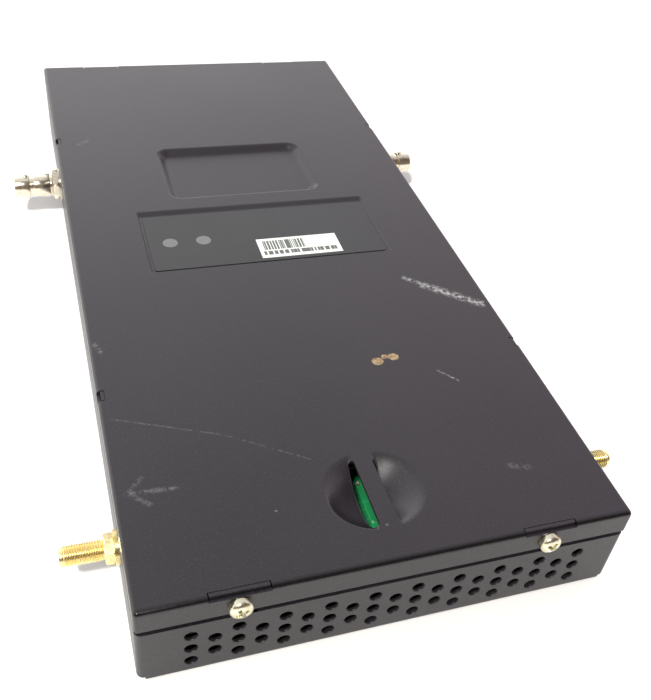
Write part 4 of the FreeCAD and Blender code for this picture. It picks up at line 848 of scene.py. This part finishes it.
def build_screw(node, body, side, end):
    """A pan-head cross-recess screw; side is 1 on the right, and end is 1 at the rear."""
    shape = bmesh.new()
    seat = SCREW_SEAT
    rows = [(seat - 6, 0), (seat - 6, 0.9), (seat - 5.8, 1.12)]
    rows += thread_rows(seat - 5.7, seat - 0.5, 1.45, 0.24, 0.5)
    rows += [(seat - 0.4, 1.3), (seat - 0.01, 1.3), (seat, 1.5), (seat, 3.3), (seat + 0.08, 3.4)]
    rows += [(seat + 1.1, 3.4)]
    for step in range(1, 13):
        angle = TURN / 4 * step / 12
        rows.append((seat + 1.1 + 1.9 * math.sin(angle), 3.4 - 3.4 * (1 - math.cos(angle)) ** 1.15))
    rows[-1] = (seat + 3.0, 0)

    def place(along, reach, angle):
        across = side * SCREW_SIDE + reach * math.cos(angle)
        return Vector((across, end * along, SCREW_LEVEL + reach * math.sin(angle)))

    add_lathe(shape, rows, place, segments=56, ring=False)
    bmesh.ops.remove_doubles(shape, verts=shape.verts, dist=1e-7)
    screw = loose_object("blank", shape)
    for turn in (0.12 * TURN + 0.3 * side, 0.37 * TURN + 0.3 * side):
        cutter = bmesh.new()
        add_wing(cutter, place, seat, turn)
        cut(screw, loose_object("cross_cutter", cutter))
    shape = bmesh.new()
    shape.from_mesh(screw.data)
    bpy.data.objects.remove(screw)
    add_piece(node + "_cut", shape, materials["screw_nickel"], body, (node,), sharp=28)


def add_wing(shape, place, seat, turn):
    """One tapered wing of the cross recess, as a closed wedge through the screw's axis."""
    corners = []
    for along, reach, half in ((seat + 1.0, 0.6, 0.3), (seat + 3.4, 2.4, 0.6)):
        for sign, spread in ((1, 1), (1, -1), (-1, 1), (-1, -1)):
            length = math.hypot(reach, half)
            angle = turn + (0 if sign > 0 else TURN / 2) + spread * math.atan2(half, reach) * sign
            corners.append(shape.verts.new(place(along, length, angle) * MM))
    for face in ((0, 1, 3, 2), (4, 6, 7, 5), (0, 2, 6, 4), (1, 5, 7, 3), (0, 4, 5, 1), (2, 3, 7, 6)):
        shape.faces.new([corners[index] for index in face])


# ---------------------------------------------------------------- board details

BOARD_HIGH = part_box("main_board")[1].z / MM
BOARD_HALF = (64.5, 149.5)
OFF_BOARD = {"base_tray", "cover", "insulating_film", "main_board"}
LEG_GAUGE = 0.16
SMALL_PITCH = 1.7
SMALL_LENGTH = 2.2
SMALL_CLEARANCE = 2.0
SMALL_TRIES = 900
SMALL_SEED = 11


def solids(name):
    """The boxes of a node's separate solids, in millimetres, in the order of its mesh."""
    shape = bmesh.new()
    shape.from_mesh(NODES[name].data)
    bmesh.ops.remove_doubles(shape, verts=shape.verts, dist=1e-7)
    boxes = []
    for first in shape.verts:
        if first.tag:
            continue
        first.tag = True
        group = [first]
        for vert in group:
            for edge in vert.link_edges:
                other = edge.other_vert(vert)
                if not other.tag:
                    other.tag = True
                    group.append(other)
        low = [min(vert.co[axis] for vert in group) / MM for axis in range(3)]
        high = [max(vert.co[axis] for vert in group) / MM for axis in range(3)]
        boxes.append((low, high))
    shape.free()
    return boxes


def add_leg(shape, root, out, width, rise, reach):
    """A gull-wing leg, from a chip's side at root out and down onto the board."""
    profile = [(-0.1, rise), (0.35, rise), (0.6, LEG_GAUGE), (1, LEG_GAUGE), (1, 0), (0.5, 0)]
    profile += [(0.25, rise - LEG_GAUGE), (-0.1, rise - LEG_GAUGE)]
    sides = []
    for half in (-width / 2, width / 2):
        points = [
            (
                root[0] + out[0] * reach * share + out[1] * half,
                root[1] + out[1] * reach * share + out[0] * half,
                BOARD_HIGH + up,
            )
            for share, up in profile
        ]
        sides.append([shape.verts.new(Vector(point) * MM) for point in points])
    for side in sides:
        shape.faces.new(side)
    for step in range(len(profile)):
        ahead = (step + 1) % len(profile)
        shape.faces.new((sides[0][step], sides[0][ahead], sides[1][ahead], sides[1][step]))


def add_leg_row(shape, box, out, pitch, rise, reach):
    """Legs along the side of a chip that faces out."""
    low, high = box
    across = 0 if out[1] else 1
    length = high[across] - low[across] - 1.2
    count = int(length / pitch)
    for step in range(count + 1):
        root = [high[axis] if out[axis] > 0 else low[axis] for axis in (0, 1)]
        root[across] = (low[across] + high[across]) / 2 + (step - count / 2) * pitch
        add_leg(shape, root, out, 0.45 * pitch, rise, reach)


def build_chip_legs():
    shape = bmesh.new()
    across = ((1, 0), (-1, 0))
    along = ((0, 1), (0, -1))
    rows = [("memory_chips", across, 0.8, 0.6, 1.2), ("flash_chip", along, 0.8, 0.6, 1.2)]
    rows += [("power_controller", across + along, 0.8, 0.8, 1.0)]
    rows += [("left_card_socket", ((0, -1),), 1.2, 0.8, 1.6)]
    rows += [("right_card_socket", ((0, 1),), 1.2, 0.8, 1.6)]
    for name, sides, pitch, rise, reach in rows:
        for box in solids(name):
            for out in sides:
                add_leg_row(shape, box, out, pitch, rise, reach)
    add_piece("chip_legs", shape, materials["tin_plate"], "case", ())


def build_capacitor_tops():
    """The bare aluminium tops of the storage capacitors, inside their rolled sleeves."""
    shape = bmesh.new()
    for low, high in solids("storage_capacitors"):
        middle = [(low[axis] + high[axis]) / 2 for axis in (0, 1)]
        reach = (high[0] - low[0]) / 2 - 0.8

        def place(along, radius, angle):
            across = middle[0] + radius * math.cos(angle)
            return Vector((across, middle[1] + radius * math.sin(angle), high[2] + along))

        rows = [(-0.3, 0), (-0.3, reach), (0.04, reach), (0.1, reach - 0.1), (0.1, reach - 0.5)]
        rows += [(0.05, reach - 0.7), (0.05, 0)]
        add_lathe(shape, rows, place, segments=48, ring=False)
    add_piece("capacitor_tops", shape, materials["spreader_metal"], "case", ())


def small_part_rows(draw):
    """Free places for rows of small parts, clear of the tie bridge, as (corner, count, turned, kind)."""
    taken = [box for name in sorted(NODES) if name not in OFF_BOARD for box in solids(name)]
    taken = [box for box in taken if box[0][2] < BOARD_HIGH + 0.6 and box[1][2] > BOARD_HIGH + 0.1]
    taken.append(((*DISH_PANEL["low"], 0), (*DISH_PANEL["high"], 0)))
    rows = []
    for _ in range(SMALL_TRIES):
        count = draw.randint(2, 7)
        turned = draw.random() < 0.5
        kind = draw.choice(("capacitor", "capacitor", "resistor"))
        size = (SMALL_LENGTH, SMALL_PITCH * count)
        if not turned:
            size = size[::-1]
        corner = [draw.uniform(-half, half - size[axis]) for axis, half in enumerate(BOARD_HALF)]
        clear = all(
            any(
                corner[axis] > box[1][axis] + SMALL_CLEARANCE
                or corner[axis] + size[axis] < box[0][axis] - SMALL_CLEARANCE
                for axis in (0, 1)
            )
            for box in taken
        )
        if clear:
            rows.append((corner, count, turned, kind))
            taken.append(((*corner, 0), (corner[0] + size[0], corner[1] + size[1], 0)))
    return rows


def build_small_parts():
    """Ceramic capacitors and resistors soldered on the free parts of the board."""
    made = {kind: bmesh.new() for kind in ("capacitor", "resistor", "ends")}
    for corner, count, turned, kind in small_part_rows(random.Random(SMALL_SEED)):
        height = 0.85 if kind == "capacitor" else 0.5
        for step in range(count):
            spans = (("ends", 0.25, 0.6, 0), (kind, 0.6, 1.6, 0.03), ("ends", 1.6, 1.95, 0))
            for part, start, stop, inset in spans:
                near = (start, SMALL_PITCH * step + 0.35 + inset)
                far = (stop, SMALL_PITCH * step + 1.3 - inset)
                if not turned:
                    near, far = near[::-1], far[::-1]
                low = (corner[0] + near[0], corner[1] + near[1], BOARD_HIGH)
                high = (corner[0] + far[0], corner[1] + far[1], BOARD_HIGH + height - inset)
                add_box(made[part], low, high)
    finishes = {"capacitor": "socket_plastic", "resistor": "chip_epoxy", "ends": "tin_plate"}
    names = {"capacitor": "small_capacitors", "resistor": "small_resistors", "ends": "small_part_ends"}
    for kind, slot in finishes.items():
        add_piece(names[kind], made[kind], materials[slot], "case", ())


add_camera()
add_sky()
add_floor()
add_lamp()
materials = make_materials()
paint_frame(materials)
build_cover()
for word, side in (("left", -1), ("right", 1)):
    build_sma_shell(word, side)
    build_bnc_shell(word, side)
    for place, end in (("front", -1), ("rear", 1)):
        corner = "%s_%s" % (place, word)
        build_screw(corner + "_cover_screw", corner + "_screw", side, end)
build_nuts("sma_nuts", SMA_OFFSET, 1.22, 8.0, 6.45, 2.8, "gold_plate")
build_nuts("bnc_nuts", BNC_OFFSET, 0.82, 12.7, 9.6, 2.4, "bnc_nickel")
build_chip_legs()
build_capacitor_tops()
build_small_parts()
bpy.context.scene.view_settings.view_transform = "Standard"
